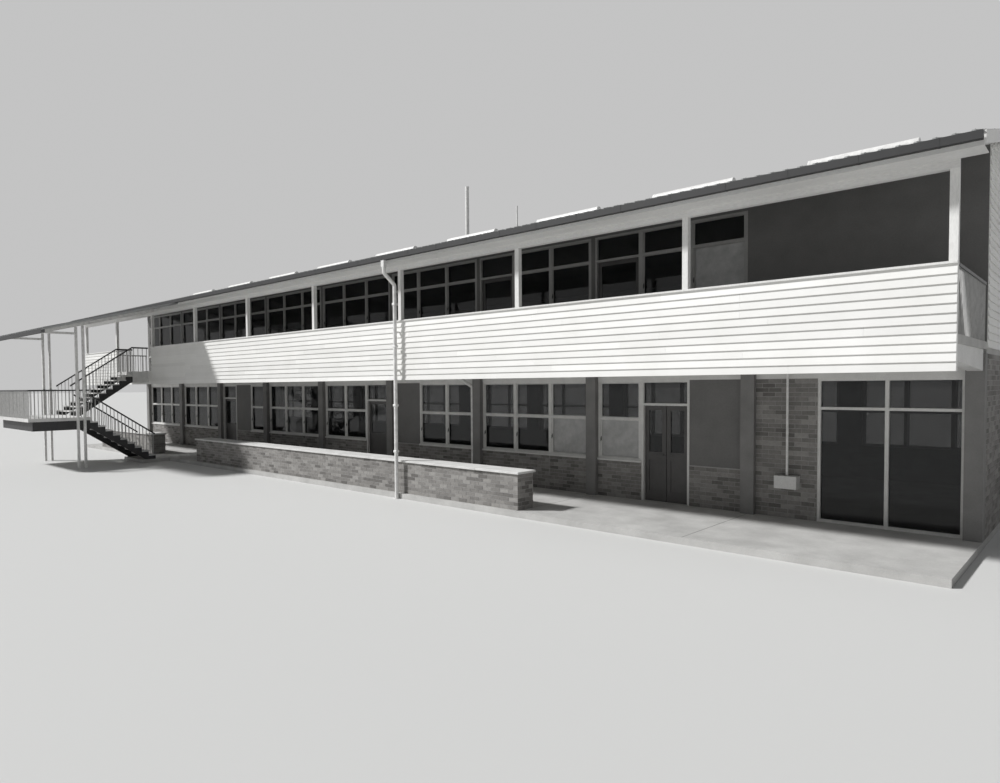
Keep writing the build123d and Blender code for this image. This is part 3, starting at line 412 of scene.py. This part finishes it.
class Solid:
    """Gathers the corners and faces of one joined piece."""

    def __init__(self):
        self.points = []
        self.faces = []

    def hexahedron(self, corners):
        """Eight corners: four below, then four above, both anticlockwise from above."""
        first = len(self.points)
        self.points.extend(corners)
        for face in ((3, 2, 1, 0), (4, 5, 6, 7), (0, 1, 5, 4), (1, 2, 6, 5), (2, 3, 7, 6), (3, 0, 4, 7)):
            self.faces.append([first + i for i in face])

    def box(self, x0, x1, y0, y1, z0, z1):
        self.hexahedron([
            (x0, y0, z0), (x1, y0, z0), (x1, y1, z0), (x0, y1, z0),
            (x0, y0, z1), (x1, y0, z1), (x1, y1, z1), (x0, y1, z1),
        ])

    def sash(self, x0, x1, y0, y1, z0, z1):
        """A sash in an upright plane that faces along Y, with slimmer rails than stiles."""
        self.box(x0, x1, y0, y1, z0, z0 + SASH_RAIL)
        self.box(x0, x1, y0, y1, z1 - SASH_RAIL, z1)
        self.box(x0, x0 + SASH, y0, y1, z0 + SASH_RAIL, z1 - SASH_RAIL)
        self.box(x1 - SASH, x1, y0, y1, z0 + SASH_RAIL, z1 - SASH_RAIL)

    def piece(self, name, slot, material=None, bevel=0.0):
        """Makes the joined piece, on the building's body."""
        mesh = bpy.data.meshes.new(name)
        mesh.from_pydata(self.points, [], self.faces)
        mesh.update()
        obj = bpy.data.objects.new(name, mesh)
        bpy.context.scene.collection.objects.link(obj)
        obj.data.materials.append(material or MATERIALS[slot])
        if bevel:
            modifier = obj.modifiers.new("edges", "BEVEL")
            modifier.width = bevel
            modifier.segments = BEVEL_SEGMENTS
        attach(obj, BODY)
        return obj


def roof_top(y):
    """The top of the main roof over a depth."""
    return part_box("roof_front")[1].z - SLOPE * abs(y - RIDGE_Y)


def lapped_roof_top(y):
    """The bed of the upper sheets, which lap over the lower ones."""
    return roof_top(y) + LAP_LIFT


def module_x(bay, module, margin):
    return GRID[bay] + margin + (BAY - 2 * margin) * module / MODULES


def face_y(y, side=-1):
    """Places points on a wall that faces along Y."""
    return lambda u, out, z: (u, y + side * out, z)


def face_x(x, side):
    """Places points on a wall that faces along X."""
    return lambda u, out, z: (x + side * out, u, z)


def whole(start, end):
    """One run at every height, for a wall with no openings."""
    return lambda z: [(start, end)]


def without(start, end, holes):
    """What is left of a run once the holes are taken out."""
    runs = []
    cursor = start
    for a, b in sorted(holes):
        if a > cursor:
            runs.append((cursor, a))
        cursor = max(cursor, b)
    if end > cursor:
        runs.append((cursor, end))
    return runs


def islands(node):
    """The box of each separate block of a node, read from its mesh."""
    mesh = frame["nodes"][node].data
    parent = list(range(len(mesh.vertices)))

    def root(i):
        while parent[i] != i:
            parent[i] = parent[parent[i]]
            i = parent[i]
        return i

    keys = {}
    for vertex in mesh.vertices:
        key = tuple(round(c, 4) for c in vertex.co)
        if key in keys:
            parent[root(vertex.index)] = root(keys[key])
        keys[key] = vertex.index
    for edge in mesh.edges:
        a, b = edge.vertices
        parent[root(a)] = root(b)
    groups = {}
    for vertex in mesh.vertices:
        groups.setdefault(root(vertex.index), []).append(vertex.co)
    boxes = []
    for points in groups.values():
        low = [min(p[i] for p in points) for i in range(3)]
        high = [max(p[i] for p in points) for i in range(3)]
        boxes.append((low, high))
    return sorted(boxes)


def lap_boards(solid, place, z0, z1, spans):
    """Lapped boards between two heights. spans(z) gives the runs of wall along u at a height,
    and place(u, out, z) turns a run's coordinate and a distance from the wall into a point."""
    rows = max(1, round((z1 - z0) / BOARD_COVER))
    cover = (z1 - z0) / rows
    for row in range(rows):
        low = z0 + cover * row
        high = low + cover
        for start, end in spans((low + high) / 2):
            cuts = [start]
            while end - cuts[-1] > BOARD_UNCUT:
                cuts.append(cuts[-1] + RANDOM.uniform(BOARD_SHORTEST, BOARD_LONGEST))
            cuts.append(end)
            for a, b in zip(cuts, cuts[1:]):
                b -= BOARD_GAP
                solid.hexahedron([
                    place(a, BOARD_THICK, low), place(b, BOARD_THICK, low),
                    place(b, 0, low), place(a, 0, low),
                    place(a, BOARD_THIN, high), place(b, BOARD_THIN, high),
                    place(b, 0, high), place(a, 0, high),
                ])


def make_front_boards():
    """The white boarded band along the verandah, in two lengths and the low edge between them."""
    low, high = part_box("verandah_bands")
    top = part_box("verandah_caps")[0].z
    left_end = GRID[1] + POST / 2
    main_start = GRID[2] - POST / 2
    boards = Solid()

    def spans(z):
        if z < UPPER_FLOOR:
            return [(low.x, high.x)]
        return [(low.x, left_end), (main_start, high.x)]

    lap_boards(boards, face_y(0), low.z, top, spans)
    boards.piece("verandah_boards", "white_boards")


def rear_windows():
    return [(GRID[b] + REAR_PIER / 2, GRID[b + 1] - REAR_PIER / 2) for b in range(BAY_COUNT)]


def make_rear_boards():
    """Boards on the upper rear wall, cut round its windows."""
    low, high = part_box("upper_rear_wall")
    boards = Solid()
    holes = [(a - WINDOW_TRIM, b + WINDOW_TRIM) for a, b in rear_windows()]
    window_foot = UPPER_FLOOR + SILL - WINDOW_TRIM
    window_top = UPPER_FLOOR + UPPER_TRANSOM + WINDOW_TRIM

    def spans(z):
        if window_foot < z < window_top:
            return without(low.x, high.x, holes)
        return [(low.x, high.x)]

    lap_boards(boards, face_y(REAR_FACE, 1), low.z - BOARD_SKIRT, high.z - REAR_BOARDS_STOP, spans)
    boards.piece("rear_boards", "white_boards")


def make_gable_boards():
    """Boards on both gables, cut to the roof's slope."""
    low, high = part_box("upper_end_walls")
    gables = Solid()

    def spans(z):
        reach = (roof_top(RIDGE_Y) - GABLE_CLEARANCE - z) / SLOPE
        return [(max(WALL_FRONT, RIDGE_Y - reach), min(REAR_FACE, RIDGE_Y + reach))]

    for side, face in ((-1, low.x), (1, high.x)):
        lap_boards(gables, face_x(face, side), low.z - BOARD_SKIRT, high.z - GABLE_BOARDS_STOP, spans)
    gables.piece("gable_boards", "white_boards")


def lay_bricks(solid, place, z0, z1, spans):
    """Stretcher courses, half-lapped, standing a little proud of their mortar."""
    courses = max(1, round((z1 - z0) / (BRICK_HEIGHT + JOINT)))
    rise = (z1 - z0) / courses
    pitch = BRICK_LENGTH + JOINT
    for course in range(courses):
        low = z0 + rise * course + JOINT / 2
        high = z0 + rise * (course + 1) - JOINT / 2
        shift = pitch / 2 if course % 2 else 0.0
        for start, end in spans((low + high) / 2):
            cursor = start - shift
            while cursor < end - COURSE_END:
                a = max(cursor, start) + (JOINT / 2 if cursor > start else 0)
                b = min(cursor + pitch, end) - (JOINT / 2 if cursor + pitch < end else 0)
                if b - a > BRICK_OFFCUT:
                    out = BRICK_PROUD + RANDOM.uniform(-BRICK_WANDER, BRICK_WANDER)
                    solid.hexahedron([
                        place(a, out, low), place(b, out, low), place(b, 0, low), place(a, 0, low),
                        place(a, out, high), place(b, out, high), place(b, 0, high), place(a, 0, high),
                    ])
                cursor += pitch


def make_planter_bricks():
    """Brick faces on all sides of the low planter walls."""
    planters = Solid()
    for low, high in islands("planter_walls"):
        along = whole(low[0], high[0])
        across = whole(low[1], high[1])
        lay_bricks(planters, face_y(low[1]), low[2], high[2], along)
        lay_bricks(planters, face_y(high[1], 1), low[2], high[2], along)
        lay_bricks(planters, face_x(low[0], -1), low[2], high[2], across)
        lay_bricks(planters, face_x(high[0], 1), low[2], high[2], across)
    planters.piece("planter_bricks", "brick", CLAY)


def make_dado_bricks():
    """Brick faces under the windows and panels, and up to the head beside the screen."""
    dado = Solid()
    for bay, kinds in enumerate(GROUND_PLAN):
        for module, kind in enumerate(kinds):
            if kind not in "WPB":
                continue
            a = module_x(bay, module, COLUMN / 2)
            b = module_x(bay, module + 1, COLUMN / 2)
            top = SLAB_TOP + (HEAD if kind == "B" else SILL - DADO_STOP)
            lay_bricks(dado, face_y(WALL_FRONT), SLAB_TOP, top, whole(a, b))
    dado.piece("dado_bricks", "brick", CLAY)


def make_wall_bricks():
    """Brick faces on the ground storey's end walls and rear wall."""
    walls = Solid()
    low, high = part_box("ground_end_walls")
    rear_low, rear_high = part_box("ground_rear_wall")
    for side, face in ((-1, low.x), (1, high.x)):
        lay_bricks(walls, face_x(face, side), low.z, high.z, whole(low.y, rear_high.y))
    holes = rear_windows()

    def rear_spans(z):
        if SLAB_TOP + SILL < z < SLAB_TOP + HEAD:
            return without(rear_low.x, rear_high.x, holes)
        return [(rear_low.x, rear_high.x)]

    lay_bricks(walls, face_y(REAR_FACE, 1), rear_low.z, rear_high.z, rear_spans)
    walls.piece("wall_bricks", "brick", CLAY)


def make_copings():
    """Cast copings in lengths, with eased edges and narrow joints."""
    copings = Solid()
    for low, high in islands("planter_copings"):
        count = round((high[0] - low[0]) / COPING_LENGTH)
        pitch = (high[0] - low[0]) / count
        for i in range(count):
            x = low[0] + pitch * i
            copings.box(x + COPING_GAP, x + pitch - COPING_GAP, low[1], high[1], low[2], high[2])
    piece = copings.piece("coping_lengths", "coping", bevel=COPING_EDGE)
    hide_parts("planter_copings")


def add_light_sashes(solid, left, right, front, back, base, bar, top):
    """The two sashes of one light, below and above its transom."""
    half = FRAME_BAR / 2
    for low, high in ((base + FRAME_BAR, bar - half), (bar + half, top - FRAME_BAR)):
        solid.sash(left + SASH_GAP, right - SASH_GAP, front, back, low + SASH_GAP, high - SASH_GAP)


def add_catch(solid, grip, front, middle):
    """A plate, a stem and a hanging handle on a sash's left stile."""
    plate_front = front - CATCH_PLATE_DEPTH
    stem_top = middle + CATCH_STEM_REACH
    solid.box(grip - CATCH_PLATE_HALF, grip + CATCH_PLATE_HALF, plate_front, front,
              middle - CATCH_PLATE_REACH, middle + CATCH_PLATE_REACH)
    solid.box(grip - CATCH_STEM_HALF, grip + CATCH_STEM_HALF, front - CATCH_STEM_DEPTH, plate_front,
              middle - CATCH_STEM_REACH, stem_top)
    solid.box(grip - CATCH_STEM_HALF, grip + CATCH_STEM_HALF, front - CATCH_HANDLE_FRONT,
              front - CATCH_HANDLE_BACK, middle - CATCH_HANDLE_DROP, stem_top)


def add_front_windows(sashes, upper_sashes_painted_shade, sills, catches):
    """Sashes, a sill and a catch for each light of the front."""
    front = WALL_FRONT + SASH_SET_BACK
    back = front + SASH_DEPTH
    plans = (
        (GROUND_PLAN, sashes, COLUMN / 2, SLAB_TOP, TRANSOM, HEAD),
        (UPPER_PLAN, upper_sashes_painted_shade, POST / 2, UPPER_FLOOR, UPPER_TRANSOM, UPPER_HEAD),
    )
    for plan, storey, margin, floor, bar, head in plans:
        sill = floor + SILL
        transom = floor + bar
        for bay, kinds in enumerate(plan):
            for module, kind in enumerate(kinds):
                if kind != "W":
                    continue
                a = module_x(bay, module, margin)
                b = module_x(bay, module + 1, margin)
                starts_run = module == 0 or kinds[module - 1] != "W"
                ends_run = module == MODULES - 1 or kinds[module + 1] != "W"
                left = a + (FRAME_BAR if starts_run else MULLION_HALF)
                right = b - (FRAME_BAR if ends_run else MULLION_HALF)
                add_light_sashes(storey, left, right, front, back, sill, transom, floor + head)
                sills.box(a, b, WALL_FRONT - SILL_PROUD, WALL_FRONT + SILL_LAP,
                          sill - SILL_DROP, sill + SILL_RISE)
                add_catch(catches, left + CATCH_INSET, front, (sill + transom) / 2)


def add_rear_windows(sashes, sills):
    """Sashes and sills of the rear windows on both storeys."""
    front = REAR_FACE - SASH_SET_BACK
    back = front - SASH_DEPTH
    storeys = (
        (SLAB_TOP + SILL, SLAB_TOP + TRANSOM, SLAB_TOP + HEAD),
        (UPPER_FLOOR + SILL, UPPER_FLOOR + (SILL + UPPER_TRANSOM) / 2, UPPER_FLOOR + UPPER_TRANSOM),
    )
    for a, b in rear_windows():
        pitch = (b - a) / MODULES
        for base, bar, top in storeys:
            sills.box(a - REAR_SILL_END, b + REAR_SILL_END, REAR_FACE - SILL_LAP, REAR_FACE + REAR_SILL_PROUD,
                      base - REAR_SILL_DROP, base + REAR_SILL_RISE)
            for i in range(MODULES):
                left = a + pitch * i + (FRAME_BAR if i == 0 else MULLION_HALF)
                right = a + pitch * (i + 1) - (FRAME_BAR if i == MODULES - 1 else MULLION_HALF)
                add_light_sashes(sashes, left, right, back, front, base, bar, top)


def make_sashes():
    """Sashes, sills and catches of the front and rear windows."""
    sashes = Solid()
    upper_sashes_painted_shade = Solid()
    sills = Solid()
    catches = Solid()
    add_front_windows(sashes, upper_sashes_painted_shade, sills, catches)
    add_rear_windows(sashes, sills)
    sashes.piece("window_sashes", "frame_paint")
    # The upper front sashes take the darker copy of the frame paint, which is painted shade.
    upper_sashes_painted_shade.piece("upper_sashes_painted_shade", "frame_paint", UPPER_FRAME_PAINTED_SHADE)
    catches.piece("window_catches", "rail_steel")
    sills.piece("window_sills", "frame_paint")


def make_obscured_panes():
    """Two lower lights beside the first door, and one above it, have obscured glass, made pale and opaque as
    painted light for daylight coming through from the rear windows.
    """
    panes = Solid()
    places = (
        (7, 0, COLUMN / 2, SLAB_TOP, TRANSOM),
        (6, 2, COLUMN / 2, SLAB_TOP, TRANSOM),
        (7, 2, POST / 2, UPPER_FLOOR, UPPER_TRANSOM),
    )
    for bay, module, margin, floor, transom in places:
        a = module_x(bay, module, margin) + PANE_EDGE
        b = module_x(bay, module + 1, margin) - PANE_EDGE
        panes.box(a, b, GLASS_FRONT - PANE_FRONT, GLASS_FRONT - PANE_BACK,
                  floor + SILL + PANE_EDGE, floor + transom - PANE_TOP_EDGE)
    panes.piece("obscured_panes_painted_light", "window_glass", OBSCURED_PAINTED_LIGHT)


def rib_sheet(solid, x0, x1, y0, y1, height):
    """A ribbed sheet between two depths, closed underneath. height(y) is the roof's surface."""
    count = round((x1 - x0) / RIB_PITCH)
    pitch = (x1 - x0) / count
    places = [(x0 + pitch * (i + share), RIB_HEIGHT * up) for i in range(count) for share, up in RIB_PROFILE]
    places.append((x1, 0))
    first = len(solid.points)
    for x, rise in places:
        for y in (y0, y1):
            solid.points.append((x, y, height(y) + rise + SHEET_LIFT))
        for y in (y0, y1):
            solid.points.append((x, y, height(y) - SHEET_BED))
    for i in range(len(places) - 1):
        a = first + 4 * i
        b = a + 4
        solid.faces.extend([
            [a, b, b + 1, a + 1],
            [a + 2, a + 3, b + 3, b + 2],
            [a, a + 2, b + 2, b],
            [a + 1, b + 1, b + 3, a + 3],
        ])
    last = first + 4 * (len(places) - 1)
    solid.faces.append([first, first + 1, first + 3, first + 2])
    solid.faces.append([last, last + 2, last + 3, last + 1])


def make_main_roof_sheets():
    """Ribbed sheets on both slopes, in two lengths a slope."""
    low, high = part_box("roof_front")
    front_edge = low.y - EAVES_DRIP
    front_middle = (low.y + RIDGE_Y) / 2
    rear_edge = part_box("roof_rear")[1].y
    rear_middle = (rear_edge + RIDGE_Y) / 2
    sheets = Solid()
    rib_sheet(sheets, low.x, high.x, front_edge, front_middle, roof_top)
    rib_sheet(sheets, low.x, high.x, front_middle - SHEET_LAP, RIDGE_Y - RIDGE_GAP, lapped_roof_top)
    rib_sheet(sheets, low.x, high.x, rear_middle, rear_edge + EAVES_DRIP, roof_top)
    rib_sheet(sheets, low.x, high.x, RIDGE_Y + RIDGE_GAP, rear_middle + SHEET_LAP, lapped_roof_top)
    sheets.piece("roof_sheets", "roof_sheet")


def make_stair_roof_sheets():
    """Ribbed sheets over the stair, in one length."""
    low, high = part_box("stair_roof")

    def stair_top(y):
        return high.z + SLOPE * (y - high.y)

    stair = Solid()
    rib_sheet(stair, low.x, high.x, low.y - STAIR_DRIP, high.y, stair_top)
    stair.piece("stair_roof_sheets", "roof_sheet")


def hoop(solid, x0, x1, y, z, radius):
    """A band round a pipe that lies along X."""
    first = len(solid.points)
    inner = radius - BAND_THICK
    for i in range(BAND_STEPS):
        turn = 2 * math.pi * i / BAND_STEPS
        for x, r in ((x0, radius), (x1, radius), (x1, inner), (x0, inner)):
            solid.points.append((x, y + r * math.cos(turn), z + r * math.sin(turn)))
    for i in range(BAND_STEPS):
        a = first + 4 * i
        b = first + 4 * ((i + 1) % BAND_STEPS)
        for j in range(4):
            k = (j + 1) % 4
            solid.faces.append([a + j, b + j, b + k, a + k])


def make_gutter_straps():
    """Straps under the front gutter and up its face."""
    straps = Solid()
    low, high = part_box("gutters")
    strap_front = low.y - STRAP_THICK
    x = low.x + STRAP_START
    while x < high.x - STRAP_END:
        end = x + STRAP_WIDTH
        straps.box(x, end, strap_front, low.y + STRAP_DEPTH, low.z - STRAP_THICK, low.z)
        straps.box(x, end, strap_front, low.y, low.z, high.z)
        x += STRAP_PITCH
    straps.piece("gutter_straps", "gutter_dark")


def make_ventilator_bands():
    """Three bands round each ridge ventilator."""
    bands = Solid()
    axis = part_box("ridge_ventilators")[1].z - VENTILATOR_RADIUS
    for start, end in islands("ridge_ventilators"):
        for x in (start[0] + BAND_INSET, (start[0] + end[0]) / 2, end[0] - BAND_INSET):
            hoop(bands, x - BAND_HALF, x + BAND_HALF, RIDGE_Y, axis, VENTILATOR_RADIUS + BAND_PROUD)
    bands.piece("ventilator_bands", "white_metal")


def make_roof_screws():
    """Screws on the ribs of the main roof, in rows up both slopes."""
    screws = Solid()
    low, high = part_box("roof_front")
    depth = low.y + FIRST_SCREW_ROW
    pitch = (high.x - low.x) / round((high.x - low.x) / RIB_PITCH)
    while depth < 2 * RIDGE_Y - low.y:
        x = low.x + RIB_PITCH / 2
        while x < high.x - SCREW_END and abs(depth - RIDGE_Y) > RIDGE_CLEAR:
            top = roof_top(depth) + RIB_HEIGHT + SHEET_LIFT
            screws.box(x - SCREW_HALF, x + SCREW_HALF, depth - SCREW_HALF, depth + SCREW_HALF,
                       top - SCREW_SHANK, top + SCREW_HEAD)
            x += pitch
        depth += SCREW_ROW
    screws.piece("roof_screws", "roof_sheet")


def make_nosings():
    """Pale nosings on the front edge of each tread."""
    nosings = Solid()
    for low, high in islands("stair_treads"):
        rising = high[0] < FLIGHT_DIVIDE
        front = low[1] - NOSING_THICK if rising else high[1]
        nosings.box(low[0] + NOSING_INSET, high[0] - NOSING_INSET, front, front + NOSING_THICK,
                    high[2] - NOSING_DROP, high[2] + NOSING_RISE)
    nosings.piece("tread_nosings", "coping")


def make_collars():
    """Collars up the front downpipe."""
    collars = Solid()
    x = GRID[DOWNPIPE_GRID_NUMBER]
    for z in COLLAR_PLACES:
        collars.box(x - COLLAR_REACH, x + COLLAR_REACH, DOWNPIPE_Y - COLLAR_REACH, DOWNPIPE_Y + COLLAR_REACH,
                    z, z + COLLAR_HEIGHT)
    collars.piece("pipe_collars", "white_metal", bevel=COLLAR_EDGE)


def add_sleeve(solid, x, y, z0, z1):
    """Paint round one baluster, from its low corner."""
    size = BALUSTER + SLEEVE
    solid.box(x - SLEEVE, x + size, y - SLEEVE, y + size, z0, z1)


def add_level_sleeves(solid, inset):
    """Paint on the balusters under the level rails."""
    for node in ("stair_landing_railings", "verandah_railings"):
        for low, high in islands(node):
            along_x = high[0] - low[0] > high[1] - low[1]
            length = max(high[0] - low[0], high[1] - low[1])
            count = max(2, round(length / BALUSTER_PITCH))
            pitch = (length - 2 * inset - BALUSTER) / count
            for i in range(count + 1):
                offset = inset + pitch * i
                x = low[0] + (offset if along_x else inset)
                y = low[1] + (inset if along_x else offset)
                add_sleeve(solid, x, y, low[2], high[2] - RAIL_SIZE)


def add_sloping_sleeves(solid, inset):
    """Paint on the balusters of both flights, and on those at the head of the upper one."""
    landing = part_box("stair_landing")[1]
    drop = RAIL_SIZE / math.cos(math.atan(RISER / GOING))
    for node, step in (("stair_lower_railings", -RISER), ("stair_upper_railings", RISER)):
        slope = step / GOING
        for low, high in islands(node):
            x = low[0] + inset
            for i in range(TREADS):
                for share in BALUSTER_SHARES:
                    y = landing.y + GOING * (i + share) - BALUSTER / 2
                    run = y - landing.y + (BALUSTER if step < 0 else 0)
                    top = landing.z + step + RAIL_HEIGHT + slope * run - drop
                    add_sleeve(solid, x, y, landing.z + step * (i + 1), top)
            if step > 0:
                for i in range(TOP_BALUSTERS):
                    y = landing.y + GOING * TREADS + TOP_BALUSTER_START + TOP_BALUSTER_PITCH * i
                    add_sleeve(solid, x, y, UPPER_FLOOR, UPPER_FLOOR + RAIL_HEIGHT - drop)


def make_balusters():
    """Pale paint on the balusters, under the dark handrails."""
    sleeves = Solid()
    inset = (RAIL_SIZE - BALUSTER) / 2
    add_level_sleeves(sleeves, inset)
    add_sloping_sleeves(sleeves, inset)
    sleeves.piece("baluster_sleeves", "rail_steel", BALUSTER_PAINT)


def make_slab_joints():
    """Sealed joints across the verandah slab, one at each grid line."""
    joints = Solid()
    for x in GRID[1:-1]:
        joints.box(x - SLAB_JOINT_HALF, x + SLAB_JOINT_HALF, SLAB_JOINT_FRONT, WALL_FRONT - SLAB_JOINT_STOP,
                   SLAB_TOP - SLAB_JOINT_DEPTH, SLAB_TOP + SLAB_JOINT_PROUD)
    joints.piece("slab_joints", "concrete", JOINT_SEALANT)


def make_stage():
    """A wide pale floor."""
    mesh = bpy.data.meshes.new("floor")
    reach = 400
    corners = [(-reach, -reach, 0), (reach, -reach, 0), (reach, reach, 0), (-reach, reach, 0)]
    mesh.from_pydata(corners, [], [(0, 1, 2, 3)])
    floor = bpy.data.objects.new("floor", mesh)
    bpy.context.scene.collection.objects.link(floor)
    material = new_material("floor_paint", (0.62, 0.62, 0.61), 0.9)[0]
    mesh.materials.append(material)
    floor.location.z = -0.002


def make_light():
    """Soft light from the front left, and an even pale surround."""
    world = bpy.data.worlds.new("surround")
    bpy.context.scene.world = world
    world.use_nodes = True
    nodes = world.node_tree.nodes
    links = world.node_tree.links
    nodes.clear()
    output = nodes.new("ShaderNodeOutputWorld")
    mix = nodes.new("ShaderNodeMixShader")
    path = nodes.new("ShaderNodeLightPath")
    fill = nodes.new("ShaderNodeBackground")
    seen = nodes.new("ShaderNodeBackground")
    fill.inputs["Color"].default_value = (0.95, 0.97, 1.0, 1)
    fill.inputs["Strength"].default_value = 0.2
    seen.inputs["Color"].default_value = (0.55, 0.55, 0.55, 1)
    seen.inputs["Strength"].default_value = 1.0
    shown = path.outputs["Is Camera Ray"]
    for kind in ("Is Glossy Ray", "Is Transmission Ray"):
        either = nodes.new("ShaderNodeMath")
        either.operation = "MAXIMUM"
        links.new(shown, either.inputs[0])
        links.new(path.outputs[kind], either.inputs[1])
        shown = either.outputs["Value"]
    links.new(shown, mix.inputs["Fac"])
    links.new(fill.outputs["Background"], mix.inputs[1])
    links.new(seen.outputs["Background"], mix.inputs[2])
    links.new(mix.outputs["Shader"], output.inputs["Surface"])
    sun = bpy.data.lights.new("soft_sun", "SUN")
    sun.energy = 3.95
    sun.angle = math.radians(6)
    lamp = bpy.data.objects.new("soft_sun", sun)
    direction = Vector((1.15, 1, -1.35))
    lamp.rotation_euler = direction.to_track_quat("-Z", "Y").to_euler()
    bpy.context.scene.collection.objects.link(lamp)


def make_camera():
    """The photograph's own viewpoint, worked out from its straight lines."""
    image_width = 1000
    image_height = 783
    focal = 687.4766
    centre_x = 462.59
    centre_y = 408.09
    place = Vector((17.8628, -10.8971, 2.6989))
    yaw = math.radians(43.6785)
    pitch = math.radians(-1.9162)
    roll = math.radians(-0.4561)
    ahead = Vector((-math.sin(yaw) * math.cos(pitch), math.cos(yaw) * math.cos(pitch), math.sin(pitch)))
    right = Vector((math.cos(yaw), math.sin(yaw), 0))
    up = right.cross(ahead)
    tilted_right = right * math.cos(roll) + up * math.sin(roll)
    tilted_up = up * math.cos(roll) - right * math.sin(roll)
    data = bpy.data.cameras.new("camera")
    data.sensor_fit = "HORIZONTAL"
    data.sensor_width = 36
    data.lens = focal * data.sensor_width / image_width
    data.shift_x = (image_width / 2 - centre_x) / image_width
    data.shift_y = (centre_y - image_height / 2) / image_width
    data.clip_end = 1000
    camera = bpy.data.objects.new("camera", data)
    turn = Matrix((tilted_right, tilted_up, -ahead)).transposed()
    camera.matrix_world = Matrix.Translation(place) @ turn.to_4x4()
    bpy.context.scene.collection.objects.link(camera)
    bpy.context.scene.camera = camera


dress_frame()
make_front_boards()
make_rear_boards()
make_gable_boards()
make_planter_bricks()
make_dado_bricks()
make_wall_bricks()
make_copings()
make_sashes()
make_obscured_panes()
make_main_roof_sheets()
make_stair_roof_sheets()
make_gutter_straps()
make_ventilator_bands()
make_roof_screws()
make_nosings()
make_collars()
make_balusters()
make_slab_joints()
make_stage()
make_light()
make_camera()
bpy.context.scene.view_settings.view_transform = "Standard"
